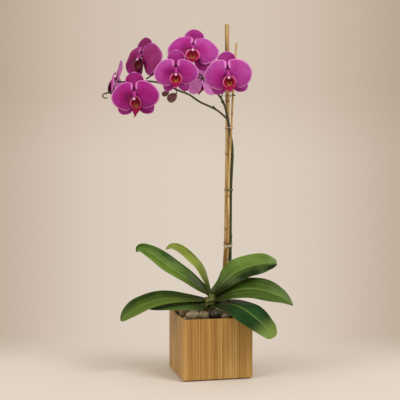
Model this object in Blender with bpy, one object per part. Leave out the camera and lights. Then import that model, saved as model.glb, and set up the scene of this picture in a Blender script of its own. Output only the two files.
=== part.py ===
"""Potted moth orchid in a square bamboo planter, modelled as an assembly of its real pieces.

Metres, +Z up. The origin is the middle of the planter's underside, on the floor. The planter's
front board faces -Y. The plant is set in the planter turned by PLANT_TURN about Z: its own
frame has x to the right along the spray's face, y away behind it and z up.
"""

import math

import bpy
import numpy as np
from mathutils import Matrix

# ---------------------------------------------------------------- driving dimensions (metres)

GAP = 0.0003                    # clearance between touching pieces

POT_WIDTH = 0.140
POT_HEIGHT = 0.119
BOARD = 0.006                   # thickness of the bamboo boards
FOOT_DROP = 0.0024              # how far the base board stands below the side boards
EASED_EDGE = 0.0005

LINER_WALL = 0.0012
LINER_TOP = 0.115
MIX_TOP = 0.086
PIT_MARGIN = 0.0085              # how much wider than a pebble its hollow in the bed is

STAKE_THICK_RADIUS = 0.0044
STAKE_THIN_RADIUS = 0.0021
STAKE_FOOT = 0.030              # height of the stakes' lower ends in the potting mix
TIE_RADIUS = 0.0011

LEAF_THICKNESS = 0.0020
PETAL_THICKNESS = 0.0013
CROWN_RADIUS = 0.0085

PLANT_TURN = math.radians(-12.85)

# Canes and the flower spike: points on the centre line, in the plant's frame.
STAKE_THICK_LINE = [(0.0270, 0.030, STAKE_FOOT), (0.0318, 0.030, 0.205), (0.0345, 0.030, 0.257),
                    (0.0361, 0.030, 0.371), (0.0376, 0.030, 0.499), (0.0365, 0.030, 0.713)]
STAKE_THIN_LINE = [(0.0310, 0.0155, STAKE_FOOT), (0.0360, 0.0155, 0.211), (0.0385, 0.0155, 0.258),
                   (0.0393, 0.0155, 0.310), (0.0395, 0.0155, 0.391), (0.0452, 0.0155, 0.498),
                   (0.0475, 0.0155, 0.556), (0.0554, 0.0155, 0.672)]
STAKE_THICK_NODES = [0.17, 0.292, 0.447, 0.556]
STAKE_THIN_NODES = [0.23, 0.36, 0.528]

FORK = (0.0379, 0.0220, 0.516)
SPIKE_LINE = [(0.0085, 0.0065, 0.141), (0.0170, 0.0130, 0.146), (0.0290, 0.0210, 0.163),
              (0.0385, 0.0224, 0.190), (0.0424, 0.0222, 0.222), (0.0430, 0.0222, 0.288),
              (0.0439, 0.0222, 0.371), (0.0470, 0.0222, 0.436), (0.0465, 0.0222, 0.463),
              (0.0430, 0.0222, 0.486), (0.0403, 0.0222, 0.502), FORK]
UPPER_BRANCH = [FORK, (0.0315, 0.0190, 0.543), (0.0195, 0.0150, 0.5645), (-0.0095, 0.0080, 0.5925),
                (-0.0200, 0.0060, 0.606), (-0.0500, 0.0040, 0.6190), (-0.0840, 0.0040, 0.6180),
                (-0.1128, 0.0030, 0.606), (-0.1290, 0.0020, 0.5960)]
LOWER_BRANCH = [FORK, (0.0142, 0.0120, 0.5345), (-0.0193, 0.0000, 0.549), (-0.0408, -0.0040, 0.563),
                (-0.0605, -0.0060, 0.5705), (-0.0800, -0.0060, 0.5790), (-0.1063, -0.0060, 0.5880),
                (-0.1300, -0.0100, 0.5895), (-0.1540, -0.0210, 0.5865), (-0.1760, -0.0300, 0.5770),
                (-0.1940, -0.0330, 0.5650), (-0.2050, -0.0330, 0.5625), (-0.2115, -0.0330, 0.5600),
                (-0.2125, -0.0330, 0.5555), (-0.2090, -0.0330, 0.5525), (-0.2030, -0.0330, 0.5530)]

# Leaves: centre line from the crown to the tip, greatest half-width, the tilt that lowers the
# near edge (degrees, at the base and at the tip), the keel angle (degrees), how round the tip
# is (2 is an ellipse, less is more pointed) and the colour.
LEAVES = {
    "leaf_lower_left": dict(
        line=[(-0.0095, -0.0020, 0.1490), (-0.0419, -0.0100, 0.1525), (-0.0783, -0.0200, 0.1540),
              (-0.1069, -0.0280, 0.1500), (-0.1330, -0.0340, 0.1405), (-0.1542, -0.0390, 0.1280),
              (-0.1755, -0.0430, 0.1110)],
        half_width=0.025, tilt=(26, 24), keel=14, tip=1.7, base=0.24, widest=0.74, colour="#4A6426"),
    "leaf_bottom_left": dict(
        line=[(-0.0100, -0.0060, 0.1375), (-0.0444, -0.0140, 0.1405), (-0.0835, -0.0230, 0.1415),
              (-0.1225, -0.0320, 0.1350)],
        half_width=0.021, tilt=(18, 14), keel=8, tip=2.0, colour="#2C4A22"),
    "leaf_upper_left": dict(
        line=[(-0.0085, 0.0020, 0.1610), (-0.0423, 0.0080, 0.1890), (-0.0622, 0.0120, 0.1985),
              (-0.0835, 0.0160, 0.2110), (-0.1049, 0.0200, 0.2270), (-0.1251, 0.0230, 0.2415),
              (-0.1415, 0.0250, 0.2490), (-0.1510, 0.0260, 0.2430)],
        half_width=0.0245, tilt=(26, 34), keel=16, tip=2.2, colour="#4A7030"),
    "leaf_young": dict(
        line=[(-0.0040, 0.0070, 0.1690), (-0.0095, 0.0110, 0.1890), (-0.0205, 0.0180, 0.2130),
              (-0.0405, 0.0260, 0.2325), (-0.0603, 0.0330, 0.2480), (-0.0767, 0.0380, 0.2530),
              (-0.0904, 0.0410, 0.2473)],
        half_width=0.0140, tilt=(26, 28), keel=14, tip=2.2, base=0.26, widest=0.72, colour="#8C9A3E"),
    "leaf_upper_right": dict(
        line=[(0.0085, -0.0030, 0.1600), (0.0293, -0.0100, 0.1840), (0.0496, -0.0110, 0.2030),
              (0.0772, -0.0080, 0.2150), (0.1062, -0.0040, 0.2210), (0.1275, -0.0010, 0.2215),
              (0.1368, 0.0000, 0.2200)],
        half_width=0.026, tilt=(62, 52), keel=8, tip=2.2, colour="#5A7630"),
    "leaf_middle_right": dict(
        line=[(0.0100, -0.0070, 0.1490), (0.0431, -0.0170, 0.1673), (0.0675, -0.0220, 0.1730),
              (0.0879, -0.0250, 0.1735), (0.1084, -0.0280, 0.1700), (0.1296, -0.0310, 0.1625),
              (0.1476, -0.0335, 0.1545), (0.1660, -0.0365, 0.1405)],
        half_width=0.027, tilt=(38, 40), keel=8, tip=1.1, colour="#3F6424"),
    "leaf_front_right": dict(
        line=[(0.0095, -0.0130, 0.1385), (0.0404, -0.0330, 0.1440), (0.0634, -0.0560, 0.1395),
              (0.0808, -0.0730, 0.1300), (0.0968, -0.0850, 0.1180), (0.1115, -0.0930, 0.1048),
              (0.1210, -0.0970, 0.0890)],
        half_width=0.029, tilt=(22, 22), keel=-4, tip=2.9, base=0.36, widest=0.68, colour="#2A4A20"),
}

# Flowers: where sepals and petals meet, turn (degrees, positive faces left), nod (degrees,
# positive looks down), roll (degrees, positive leans the top to the left), scale. Then, for the
# left and the right petal: how far it swings up (degrees) and the share by which it is longer
# above and below than the outline.
FLOWERS = {
    "flower_right": dict(at=(0.0366, -0.0400, 0.6000), turn=0, nod=10, roll=7, scale=1.0,
                         petals=((0, 0.03, 0.0), (0, -0.03, 0.02))),
    "flower_centre": dict(at=(-0.0663, -0.0500, 0.6040), turn=0, nod=10, roll=0, scale=0.93,
                          petals=((-6, -0.09, 0.05), (-3, -0.13, -0.06))),
    "flower_top": dict(at=(-0.0330, -0.0120, 0.6540), turn=0, nod=-14, roll=-4, scale=1.09,
                       petals=((3, -0.12, -0.25), (6, -0.20, 0.02))),
    "flower_shaded": dict(at=(-0.1365, -0.0100, 0.6370), turn=38, nod=-9, roll=7, scale=1.04,
                          petals=((0, -0.10, 0.0), (-6, -0.02, 0.15))),
    "flower_lower_left": dict(at=(-0.1472, -0.0500, 0.5572), turn=3, nod=10, roll=2, scale=1.0,
                              petals=((-3, -0.11, 0.03), (0, -0.05, -0.06))),
    "flower_far_left": dict(at=(-0.1925, 0.0200, 0.5940), turn=96, nod=-6, roll=0, scale=1.0,
                            petals=((-25, -0.30, 0.0), (-25, -0.30, 0.0))),
    "flower_turned_away": dict(at=(-0.0165, 0.0300, 0.6010), turn=158, nod=0, roll=0, scale=0.86,
                               petals=((0, 0.0, 0.0), (0, 0.0, 0.0))),
}

# Flower stalks: where each leaves its branch; the other end is the back of its flower.
STALKS = {
    "flower_right": (0.0240, 0.0160, 0.5570),
    "flower_centre": (-0.0500, -0.0050, 0.5670),
    "flower_top": (-0.0230, 0.0058, 0.6080),
    "flower_shaded": (-0.1128, 0.0030, 0.6060),
    "flower_lower_left": (-0.1220, -0.0080, 0.5895),
    "flower_far_left": (-0.1500, -0.0190, 0.5870),
    "flower_turned_away": (-0.0095, 0.0080, 0.5925),
}

# Buds: stalk foot on the branch, middle of the bud, half-length and half-width, long axis.
BUDS = {
    "bud_large": dict(foot=(-0.0660, -0.0060, 0.5730), at=(-0.0752, -0.0140, 0.5562),
                      size=(0.0113, 0.0088), lean=(-0.72, -0.25, -0.62), colour="#6A3038"),
    "bud_small": dict(foot=(-0.0860, -0.0060, 0.5815), at=(-0.0890, -0.0120, 0.5645),
                      size=(0.0078, 0.0054), lean=(-0.86, -0.20, -0.42), colour="#5A2C34"),
}

# Pebbles that show in front: middle, half-sizes along their own axes, turn about Z, colour.
PEBBLES = {
    "pebble_long": dict(at=(-0.0433, -0.0400, 0.1225), half=(0.0150, 0.0085, 0.0085), turn=-12,
                        colour="#B0A48C"),
    "pebble_left": dict(at=(-0.0540, 0.0110, 0.1205), half=(0.0062, 0.0110, 0.0090), turn=10,
                        colour="#8C7C70"),
    "pebble_oval": dict(at=(-0.0195, -0.0440, 0.1220), half=(0.0070, 0.0085, 0.0078), turn=0,
                        colour="#A8A08A"),
    "pebble_dark": dict(at=(0.0012, -0.0380, 0.1230), half=(0.0115, 0.0100, 0.0100), turn=15,
                        colour="#4A4038"),
    "pebble_right": dict(at=(0.0235, -0.0505, 0.1215), half=(0.0118, 0.0088, 0.0078), turn=-10,
                         colour="#B4A68E"),
}


# ---------------------------------------------------------------- materials

def linear(hex_colour):
    """Turn an sRGB hex colour into linear red, green, blue and alpha."""
    channels = [int(hex_colour[i:i + 2], 16) / 255 for i in (1, 3, 5)]
    return [c / 12.92 if c <= 0.04045 else ((c + 0.055) / 1.055) ** 2.4 for c in channels] + [1.0]


def finish(name, hex_colour, roughness, metallic=0.0):
    """Make a Principled material with one colour."""
    material = bpy.data.materials.new(name)
    material.use_nodes = True
    shader = material.node_tree.nodes["Principled BSDF"]
    shader.inputs["Base Color"].default_value = linear(hex_colour)
    shader.inputs["Roughness"].default_value = roughness
    shader.inputs["Metallic"].default_value = metallic
    return material


# ---------------------------------------------------------------- mesh helpers

def add_object(name, vertices, faces, material, smooth=True):
    """Make an object from vertices and faces, coloured and shaded."""
    mesh = bpy.data.meshes.new(name)
    mesh.from_pydata([tuple(map(float, v)) for v in vertices], [], [tuple(map(int, f)) for f in faces])
    if material:
        mesh.materials.append(material)
    mesh.validate()
    mesh.update()
    thing = bpy.data.objects.new(name, mesh)
    bpy.context.scene.collection.objects.link(thing)
    if smooth:
        mesh.shade_smooth()
        mesh.set_sharp_from_angle(angle=math.radians(40))
    return thing


def as_tool(thing):
    """Mark an object as a cutter or a shape to be joined, so that it is no piece itself."""
    thing.hide_render = True
    thing.display_type = "WIRE"
    return thing


def combine(thing, other, operation):
    """Add a Boolean modifier that joins or cuts with another object."""
    step = thing.modifiers.new(f"{operation.lower()}_{other.name}", "BOOLEAN")
    step.operation = operation
    step.solver = "EXACT"
    step.object = as_tool(other)


def ease_edges(thing, width):
    """Bevel the sharp edges of a board."""
    bevel = thing.modifiers.new("eased_edges", "BEVEL")
    bevel.width = width
    bevel.segments = 1
    bevel.limit_method = "ANGLE"


def smooth_path(points, count):
    """Read count points, evenly spaced, from a Catmull-Rom curve through the given points."""
    p = np.asarray(points, float)
    p = np.vstack([2 * p[0] - p[1], p, 2 * p[-1] - p[-2]])
    t = np.linspace(0, 1, 24, endpoint=False)[:, None]
    runs = []
    for a, b, c, d in zip(p[:-3], p[1:-2], p[2:-1], p[3:]):
        runs.append(0.5 * (2 * b + (c - a) * t + (2 * a - 5 * b + 4 * c - d) * t ** 2
                           + (3 * b - a - 3 * c + d) * t ** 3))
    dense = np.vstack(runs + [p[-2:-1]])
    along = np.concatenate([[0], np.cumsum(np.linalg.norm(np.diff(dense, axis=0), axis=1))])
    wanted = np.linspace(0, along[-1], count)
    return np.stack([np.interp(wanted, along, dense[:, k]) for k in range(3)], axis=1)


def unit(vectors):
    """Scale vectors to length one."""
    return vectors / np.linalg.norm(vectors, axis=-1, keepdims=True)


def tube(name, line, radii, sides, material):
    """Sweep a circle along a line, with one radius per point, and close both ends."""
    line = np.asarray(line, float)
    tangent = unit(np.gradient(line, axis=0))
    guide = np.array([0.0, 1.0, 0.0])
    across = unit(np.cross(tangent, guide))
    other = np.cross(across, tangent)
    angle = np.linspace(0, 2 * np.pi, sides, endpoint=False)
    rings = (line[:, None, :] + np.asarray(radii)[:, None, None]
             * (np.cos(angle)[None, :, None] * across[:, None, :]
                + np.sin(angle)[None, :, None] * other[:, None, :]))
    count = len(line)
    faces = []
    for i in range(count - 1):
        for j in range(sides):
            a, b = i * sides + j, i * sides + (j + 1) % sides
            faces.append((a, a + sides, b + sides, b))
    faces.append(list(range(sides)))
    faces.append([(count - 1) * sides + j for j in reversed(range(sides))])
    return add_object(name, rings.reshape(-1, 3), faces, material)


def grid_normals(surface):
    """Give the unit normal at each point of a grid surface."""
    return unit(np.cross(np.gradient(surface, axis=0), np.gradient(surface, axis=1)))


def plate(name, surface, thickness, material):
    """Thicken a grid surface into one closed solid."""
    rows, columns = surface.shape[:2]
    half = grid_normals(surface) * thickness / 2
    vertices = np.concatenate([(surface + half).reshape(-1, 3), (surface - half).reshape(-1, 3)])
    back = rows * columns
    faces = []
    for i in range(rows - 1):
        for j in range(columns - 1):
            a = i * columns + j
            b, c, d = a + columns, a + columns + 1, a + 1
            faces.append((a, b, c, d))
            faces.append((back + d, back + c, back + b, back + a))
    rim = ([i * columns for i in range(rows)]
           + [(rows - 1) * columns + j for j in range(1, columns)]
           + [i * columns + columns - 1 for i in range(rows - 2, -1, -1)]
           + list(range(columns - 2, 0, -1)))
    for a, b in zip(rim, rim[1:] + rim[:1]):
        faces.append((b, a, back + a, back + b))
    return add_object(name, vertices, faces, material)


def box(name, low, high, material=None):
    """Make a box between two corners."""
    (x0, y0, z0), (x1, y1, z1) = low, high
    vertices = [(x0, y0, z0), (x1, y0, z0), (x1, y1, z0), (x0, y1, z0),
                (x0, y0, z1), (x1, y0, z1), (x1, y1, z1), (x0, y1, z1)]
    faces = [(3, 2, 1, 0), (4, 5, 6, 7), (0, 1, 5, 4), (1, 2, 6, 5), (2, 3, 7, 6), (3, 0, 4, 7)]
    return add_object(name, vertices, faces, material, smooth=False)


# ---------------------------------------------------------------- planter

def make_side_board(name, quarter_turns, material):
    """One mitred board: outer face on the planter's side, ends cut at 45 degrees."""
    outer = POT_WIDTH / 2
    inner = outer - BOARD
    mitre = GAP / math.sqrt(2)
    plan = [(-outer + mitre, -outer), (outer - mitre, -outer), (inner - mitre, -inner),
            (-inner + mitre, -inner)]
    vertices = [(x, y, FOOT_DROP) for x, y in plan] + [(x, y, POT_HEIGHT) for x, y in plan]
    faces = [(3, 2, 1, 0), (4, 5, 6, 7), (0, 1, 5, 4), (1, 2, 6, 5), (2, 3, 7, 6), (3, 0, 4, 7)]
    board = add_object(name, vertices, faces, material, smooth=False)
    board.rotation_euler.z = quarter_turns * math.pi / 2
    ease_edges(board, EASED_EDGE)
    return board


def make_planter():
    """Four mitred bamboo boards round a base board that they stand a little above."""
    for turns, side in enumerate(["front", "right", "back", "left"]):
        make_side_board(f"pot_{side}_board", turns, finish(f"bamboo_{side}", "#B08546", 0.45))
    half = POT_WIDTH / 2 - BOARD - GAP
    base = box("pot_base_board", (-half, -half, 0), (half, half, BOARD),
               finish("bamboo_base", "#A87C40", 0.55))
    ease_edges(base, EASED_EDGE)


def make_liner():
    """A thin plastic liner: a box with a smaller box cut out of its top."""
    outer = POT_WIDTH / 2 - BOARD - 2 * GAP
    inner = outer - LINER_WALL
    floor = BOARD + GAP
    liner = box("pot_liner", (-outer, -outer, floor), (outer, outer, LINER_TOP),
                finish("liner_plastic", "#17150F", 0.5))
    hollow = box("liner_hollow", (-inner, -inner, floor + LINER_WALL), (inner, inner, POT_HEIGHT))
    combine(liner, hollow, "DIFFERENCE")


def filling_half_width():
    """Half the width of what fills the liner."""
    return POT_WIDTH / 2 - BOARD - 3 * GAP - LINER_WALL


def stake_sleeves(prefix, holder):
    """Cutters for the two stakes' holes, a clearance wider than the canes."""
    sleeves = []
    for line, radius, label in ((STAKE_THICK_LINE, STAKE_THICK_RADIUS, "thick"),
                                (STAKE_THIN_LINE, STAKE_THIN_RADIUS, "thin")):
        low, high = np.array(line[0]), np.array(line[1])
        along = unit(high - low)
        start = low - along * GAP * 2
        sleeve = tube(f"{prefix}_{label}_hole", [start, start + along * 0.12],
                      [radius * 1.13 + GAP] * 2, 10, None)
        sleeve.parent = holder
        sleeves.append(sleeve)
    return sleeves


def make_potting_mix(holder):
    """The block of bark potting mix inside the liner, with the stakes' holes."""
    half = filling_half_width()
    mix = box("potting_mix", (-half, -half, BOARD + 2 * GAP + LINER_WALL), (half, half, MIX_TOP),
              finish("bark_mix", "#3A2A1E", 0.9))
    for hole in stake_sleeves("mix", holder):
        combine(mix, hole, "DIFFERENCE")


def bed_height(x, y):
    """Height of the pebble bed: a low heap, bumpy with stones, hollowed where a pebble lies."""
    height = 0.1275 - 0.0150 * (x ** 2 + y ** 2) / 0.062 ** 2
    height += 0.0030 * np.abs(np.sin(x * 260 + 0.7) * np.cos(y * 230 + 0.4))
    for pebble in PEBBLES.values():
        away = np.hypot(x - pebble["at"][0], y - pebble["at"][1])
        under = pebble["at"][2] - pebble["half"][2] * 1.12 - 0.0006
        height = np.where(away < max(pebble["half"][:2]) + PIT_MARGIN, np.minimum(height, under), height)
    return height


def make_pebble_bed(holder):
    """The river pebbles below and behind the ones in front, as one bumpy closed block."""
    half = filling_half_width()
    steps = 19
    axis = np.linspace(-half, half, steps)
    x, y = np.meshgrid(axis, axis, indexing="ij")
    top = np.stack([x, y, bed_height(x, y)], axis=-1).reshape(-1, 3)
    edge = (list(range(0, steps * steps, steps))
            + list(range(steps * (steps - 1) + 1, steps * steps))
            + list(range(steps * (steps - 1) - 1, 0, -steps))
            + list(range(steps - 2, 0, -1)))
    low = top[edge].copy()
    low[:, 2] = MIX_TOP + GAP
    faces = []
    for i in range(steps - 1):
        for j in range(steps - 1):
            a = i * steps + j
            faces.append((a, a + steps, a + steps + 1, a + 1))
    first = steps * steps
    ring = [first + k for k in range(len(edge))]
    for k in range(len(edge)):
        n = (k + 1) % len(edge)
        faces.append((edge[n], edge[k], ring[k], ring[n]))
    faces.append(ring[::-1])
    bed = add_object("pebble_bed", np.vstack([top, low]), faces, finish("river_pebbles", "#7C7060", 0.6))
    crown_hole = tube("crown_hole", [(0, 0, MIX_TOP - 0.01), (0, 0, 0.14)],
                      [CROWN_RADIUS * 1.10 + GAP] * 2, 16, None)
    crown_hole.parent = holder
    combine(bed, crown_hole, "DIFFERENCE")
    for hole in stake_sleeves("bed", holder):
        combine(bed, hole, "DIFFERENCE")


def make_pebble(name, at, half, turn, colour):
    """A river pebble: a sphere squashed to its three half-sizes, a little egg-shaped."""
    bpy.ops.mesh.primitive_uv_sphere_add(segments=10, ring_count=6, radius=1)
    pebble = bpy.context.object
    pebble.name = name
    pebble.data.name = name
    for vertex in pebble.data.vertices:
        taper = 1 + 0.12 * vertex.co.x
        vertex.co = (vertex.co.x * half[0], vertex.co.y * half[1] * taper, vertex.co.z * half[2] * taper)
    pebble.location = at
    pebble.rotation_euler.z = math.radians(turn)
    pebble.data.materials.append(finish(f"{name}_stone", colour, 0.55))
    pebble.data.shade_smooth()


# ---------------------------------------------------------------- stakes, ties, spike

def cane_radii(heights, radius, nodes):
    """Radius of a bamboo cane along its heights, swollen by a tenth at each node."""
    swelling = sum(np.exp(-((heights - node) / 0.0035) ** 2) for node in nodes)
    return radius * (1 + 0.10 * swelling)


def make_stake(name, line, radius, nodes, sides, holder):
    """A bamboo cane that follows its line, with its nodes."""
    stops = list(np.linspace(STAKE_FOOT, line[-1][2], 9))
    for node in nodes:
        stops += [node - 0.006, node, node + 0.006]
    heights = np.array(sorted(stops))
    dense = smooth_path(line, 200)
    points = np.stack([np.interp(heights, dense[:, 2], dense[:, k]) for k in range(3)], axis=1)
    stake = tube(name, points, cane_radii(heights, radius, nodes), sides,
                 finish(f"{name}_cane", "#C9A468", 0.45))
    stake.parent = holder


def circle_hull(circles, clearance, count):
    """Points of the tight loop round several circles (x, y, radius), by their support points."""
    angle = np.linspace(0, 2 * np.pi, count, endpoint=False)
    normal = np.stack([np.cos(angle), np.sin(angle)], axis=1)
    data = np.array(circles)
    reach = normal @ data[:, :2].T + data[:, 2]
    chosen = data[np.argmax(reach, axis=1)]
    return chosen[:, :2] + normal * (chosen[:, 2:3] + clearance)


def make_tie(name, height, lines, holder):
    """A wire tie: a closed ring of round wire about the canes and the stem at one height."""
    circles = []
    for line, radius in lines:
        dense = smooth_path(line, 300)
        nearest = dense[np.argmin(np.abs(dense[:, 2] - height))]
        circles.append((nearest[0], nearest[1], radius))
    loop = circle_hull(circles, 2 * GAP + 1.15 * TIE_RADIUS, 18)
    ring = np.column_stack([loop, np.full(len(loop), height)])
    outward = unit(ring - ring.mean(axis=0))
    sides = 6
    angle = np.linspace(0, 2 * np.pi, sides, endpoint=False)
    up = np.array([0.0, 0.0, 1.0])
    rings = (ring[:, None, :] + TIE_RADIUS * (np.cos(angle)[None, :, None] * outward[:, None, :]
                                              + np.sin(angle)[None, :, None] * up))
    count = len(ring)
    faces = []
    for i in range(count):
        for j in range(sides):
            n, m = (i + 1) % count, (j + 1) % sides
            faces.append((i * sides + j, n * sides + j, n * sides + m, i * sides + m))
    tie = add_object(name, rings.reshape(-1, 3), faces, finish(f"{name}_wire", "#7C7A4E", 0.5))
    tie.parent = holder


def flower_matrix(turn, nod, roll):
    """Rotation of a flower: roll about its own face, then nod, then turn about the vertical."""
    a, b, c = (math.radians(v) for v in (-turn, nod, -roll))
    about_z = np.array([[math.cos(a), -math.sin(a), 0], [math.sin(a), math.cos(a), 0], [0, 0, 1]])
    about_x = np.array([[1, 0, 0], [0, math.cos(b), -math.sin(b)], [0, math.sin(b), math.cos(b)]])
    about_y = np.array([[math.cos(c), 0, math.sin(c)], [0, 1, 0], [-math.sin(c), 0, math.cos(c)]])
    return about_z @ about_x @ about_y


def stalk_line(name):
    """A flower stalk: from its branch it leaves sideways and meets the flower's back square on."""
    flower = FLOWERS[name]
    facing = flower_matrix(flower["turn"], flower["nod"], flower["roll"])
    back = np.array(flower["at"]) + facing @ np.array([0, 0.0034 * flower["scale"], 0])
    behind = back + facing @ np.array([0, 0.011, 0])
    foot = np.array(STALKS[name])
    middle = 0.5 * foot + 0.5 * behind + np.array([0, 0.003, 0.002])
    return [foot, middle, behind, back]


def make_spike(holder):
    """The flower spike: one grown stem with two branches, its flower stalks and bud stalks."""
    green = finish("spike_green", "#3A4A26", 0.5)
    stem_line = smooth_path(SPIKE_LINE, 22)
    stem = tube("flower_spike", stem_line, np.linspace(0.0029, 0.0024, 22), 8, green)
    stem.parent = holder
    parts = [("upper_branch", UPPER_BRANCH, 16, 0.0021, 0.0014, 7),
             ("lower_branch", LOWER_BRANCH, 30, 0.0020, 0.0010, 7)]
    for name in STALKS:
        parts.append((f"{name}_stalk", stalk_line(name), 6, 0.0012, 0.0016, 6))
    for name, bud in BUDS.items():
        axis = unit(np.array(bud["lean"]))
        away = np.array(bud["at"]) - axis * (bud["size"][0] + 0.0006)
        parts.append((f"{name}_stalk", [bud["foot"], away - 0.0035 * axis, away], 5, 0.0010, 0.0013, 6))
    for name, line, count, start, end, sides in parts:
        points = smooth_path(line, count)
        branch = tube(name, points, np.linspace(start, end, count), sides, None)
        branch.parent = holder
        combine(stem, branch, "UNION")


def make_bud(name, at, size, lean, colour, holder):
    """A closed bud: an egg turned about its long axis."""
    length, width = size
    axis = unit(np.array(lean))
    steps = np.linspace(-1, 1, 7)
    line = np.array(at) + axis * (steps * length)[:, None]
    egg = np.sqrt(np.clip(1 - steps ** 2, 0.02, 1)) * (1 + 0.18 * steps)
    bud = tube(name, line, width * egg / egg.max(), 8, finish(f"{name}_skin", colour, 0.5))
    bud.parent = holder


# ---------------------------------------------------------------- leaves and crown

def leaf_half_width(u, greatest, tip, base, widest):
    """Half-width along a leaf: a narrow base, the widest place, a rounded tip."""
    rising = base + (1 - base) * np.sin(np.pi / 2 * np.clip(u / widest, 0, 1)) ** 1.2
    falling = np.clip(1 - (np.clip(u - widest, 0, 1) / (1 - widest)) ** 2, 0.001, 1) ** (1 / tip)
    return greatest * np.where(u < widest, rising, falling)


def leaf_surface(line, half_width, tilt, keel, tip, base, widest, rows, columns):
    """Points of a leaf's middle surface: across its line, tilted and folded along the midrib."""
    centre = smooth_path(line, rows)
    u = np.linspace(0, 1, rows)
    tangent = unit(np.gradient(centre, axis=0))
    across = unit(np.cross(tangent, [0.0, 0.0, 1.0]))
    across = across * np.where(across[:, 1:2] < 0, -1, 1)
    upward = np.cross(across, tangent)
    upward = upward * np.where(upward[:, 2:3] < 0, -1, 1)
    lean = np.radians(np.interp(u, [0, 1], tilt))[:, None]
    side = across * np.cos(lean) + upward * np.sin(lean)
    face = upward * np.cos(lean) - across * np.sin(lean)
    v = np.linspace(-1, 1, columns)
    fold = math.radians(keel)
    width = leaf_half_width(u, half_width, tip, base, widest)[:, None]
    offset_side = (width * v * math.cos(fold))[:, :, None]
    offset_face = (width * (np.sqrt(v ** 2 + 0.03) - 0.17) * math.sin(fold))[:, :, None]
    return centre[:, None, :] + offset_side * side[:, None, :] + offset_face * face[:, None, :]


def make_leaf(name, line, half_width, tilt, keel, tip, colour, holder, base=0.34, widest=0.6):
    """A thick strap leaf."""
    surface = leaf_surface(line, half_width, tilt, keel, tip, base, widest, 11, 5)
    leaf = plate(name, surface, LEAF_THICKNESS, finish(f"{name}_green", colour, 0.35))
    leaf.parent = holder


def make_crown(holder):
    """The short stem that the leaves clasp: a turned, tapering body down to the potting mix."""
    heights = np.array([MIX_TOP + GAP, 0.100, 0.120, 0.136, 0.148, 0.158, 0.164, 0.167])
    radii = np.array([0.80, 0.90, 1.0, 0.92, 0.84, 0.70, 0.46, 0.16]) * CROWN_RADIUS
    line = np.column_stack([np.zeros(8), np.zeros(8), heights])
    crown = tube("crown", line, radii, 12, finish("crown_green", "#5A6E2C", 0.45))
    crown.parent = holder


# ---------------------------------------------------------------- flowers

# Petal outline seen from the front, as angle (degrees above the horizontal) and reach (metres).
PETAL_OUTLINE = [(-76, 0.0252), (-70, 0.0301), (-63, 0.0334), (-55, 0.0350), (-47, 0.0365), (-30, 0.0406),
                 (-12, 0.0423), (0, 0.0418), (11, 0.0399), (30, 0.0365), (47, 0.0336), (65, 0.0305),
                 (79, 0.0282), (91, 0.0262), (98, 0.0240), (103, 0.0198)]
CLAW = 0.0055                   # how far from the middle line the rays of a petal start

# One sepal seen from the front: distance along it and half-width, both as shares of its length.
SEPAL_OUTLINE = [(0.12, 0.10), (0.30, 0.25), (0.52, 0.38), (0.75, 0.39), (0.93, 0.22)]
SEPALS = [(90, 0.0440, 1.0), (228, 0.0490, 0.80), (312, 0.0490, 0.80)]  # direction, length, breadth


def dish(x, z):
    """How far a flower's face curves back from its middle plane at a point of it."""
    return 0.0035 * ((x / 0.046) ** 2 + (z / 0.046) ** 2)


def petal_surface(side, swing, above, below, rows, columns):
    """Points of a petal: a fan of rays from its foot, each ray as long as the outline says."""
    angles, reaches = np.array(PETAL_OUTLINE).T
    angle = np.linspace(angles[0], angles[-1], columns)
    reach = np.interp(angle, angles, reaches)
    reach = reach * (1 + np.interp(angle, [-65, -20, 0, 60], [below, 0, 0, above]))
    share = np.linspace(0.07, 1, rows)[:, None]
    x = CLAW + share * reach * np.cos(np.radians(angle + swing))
    z = share * reach * np.sin(np.radians(angle + swing))
    x = np.maximum(x, 0.0010)
    y = dish(x, z) - 0.0010
    return np.stack([side * x, y, z], axis=-1)


def make_petal(name, side, shape, scale, material, holder):
    """One of a flower's two broad petals; side is 1 to the right and -1 to the left."""
    surface = petal_surface(side, *shape, 5, 11) * scale
    if side > 0:
        surface = surface[:, ::-1]
    petal = plate(name, surface, PETAL_THICKNESS, material)
    petal.parent = holder


def sepal_ring():
    """The outline of the three joined sepals, anticlockwise from the front, as x and z."""
    points = []
    for direction, length, breadth in SEPALS:
        a = math.radians(direction)
        along, across = np.array([math.cos(a), math.sin(a)]), np.array([-math.sin(a), math.cos(a)])
        outline = [(s, -w) for s, w in SEPAL_OUTLINE] + [(1.0, 0.0)]
        outline += [(s, w) for s, w in reversed(SEPAL_OUTLINE)]
        points += [length * (s * along + w * breadth * across) for s, w in outline]
    return np.array(points)


def make_sepals(name, scale, material, holder):
    """The whorl of three sepals: one closed plate about its middle, behind the petals."""
    ring = sepal_ring()
    count = len(ring)
    flat = np.vstack([[(0.0, 0.0)], ring * 0.5, ring])
    depth = dish(flat[:, 0], flat[:, 1]) + 0.0018
    half = PETAL_THICKNESS / 2
    front = np.column_stack([flat[:, 0], depth - half, flat[:, 1]])
    back = np.column_stack([flat[:, 0], depth + half, flat[:, 1]])
    size = len(flat)
    faces = []
    for k in range(count):
        n = (k + 1) % count
        inner, inner_next, outer, outer_next = 1 + k, 1 + n, 1 + count + k, 1 + count + n
        faces.append((0, inner, inner_next))
        faces += [(inner, outer, outer_next), (inner, outer_next, inner_next)]
        faces.append((size, size + inner_next, size + inner))
        faces += [(size + inner, size + outer_next, size + outer),
                  (size + inner, size + inner_next, size + outer_next)]
        faces.append((outer, size + outer, size + outer_next, outer_next))
    whorl = add_object(name, np.vstack([front, back]) * scale, faces, material)
    whorl.parent = holder


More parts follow.
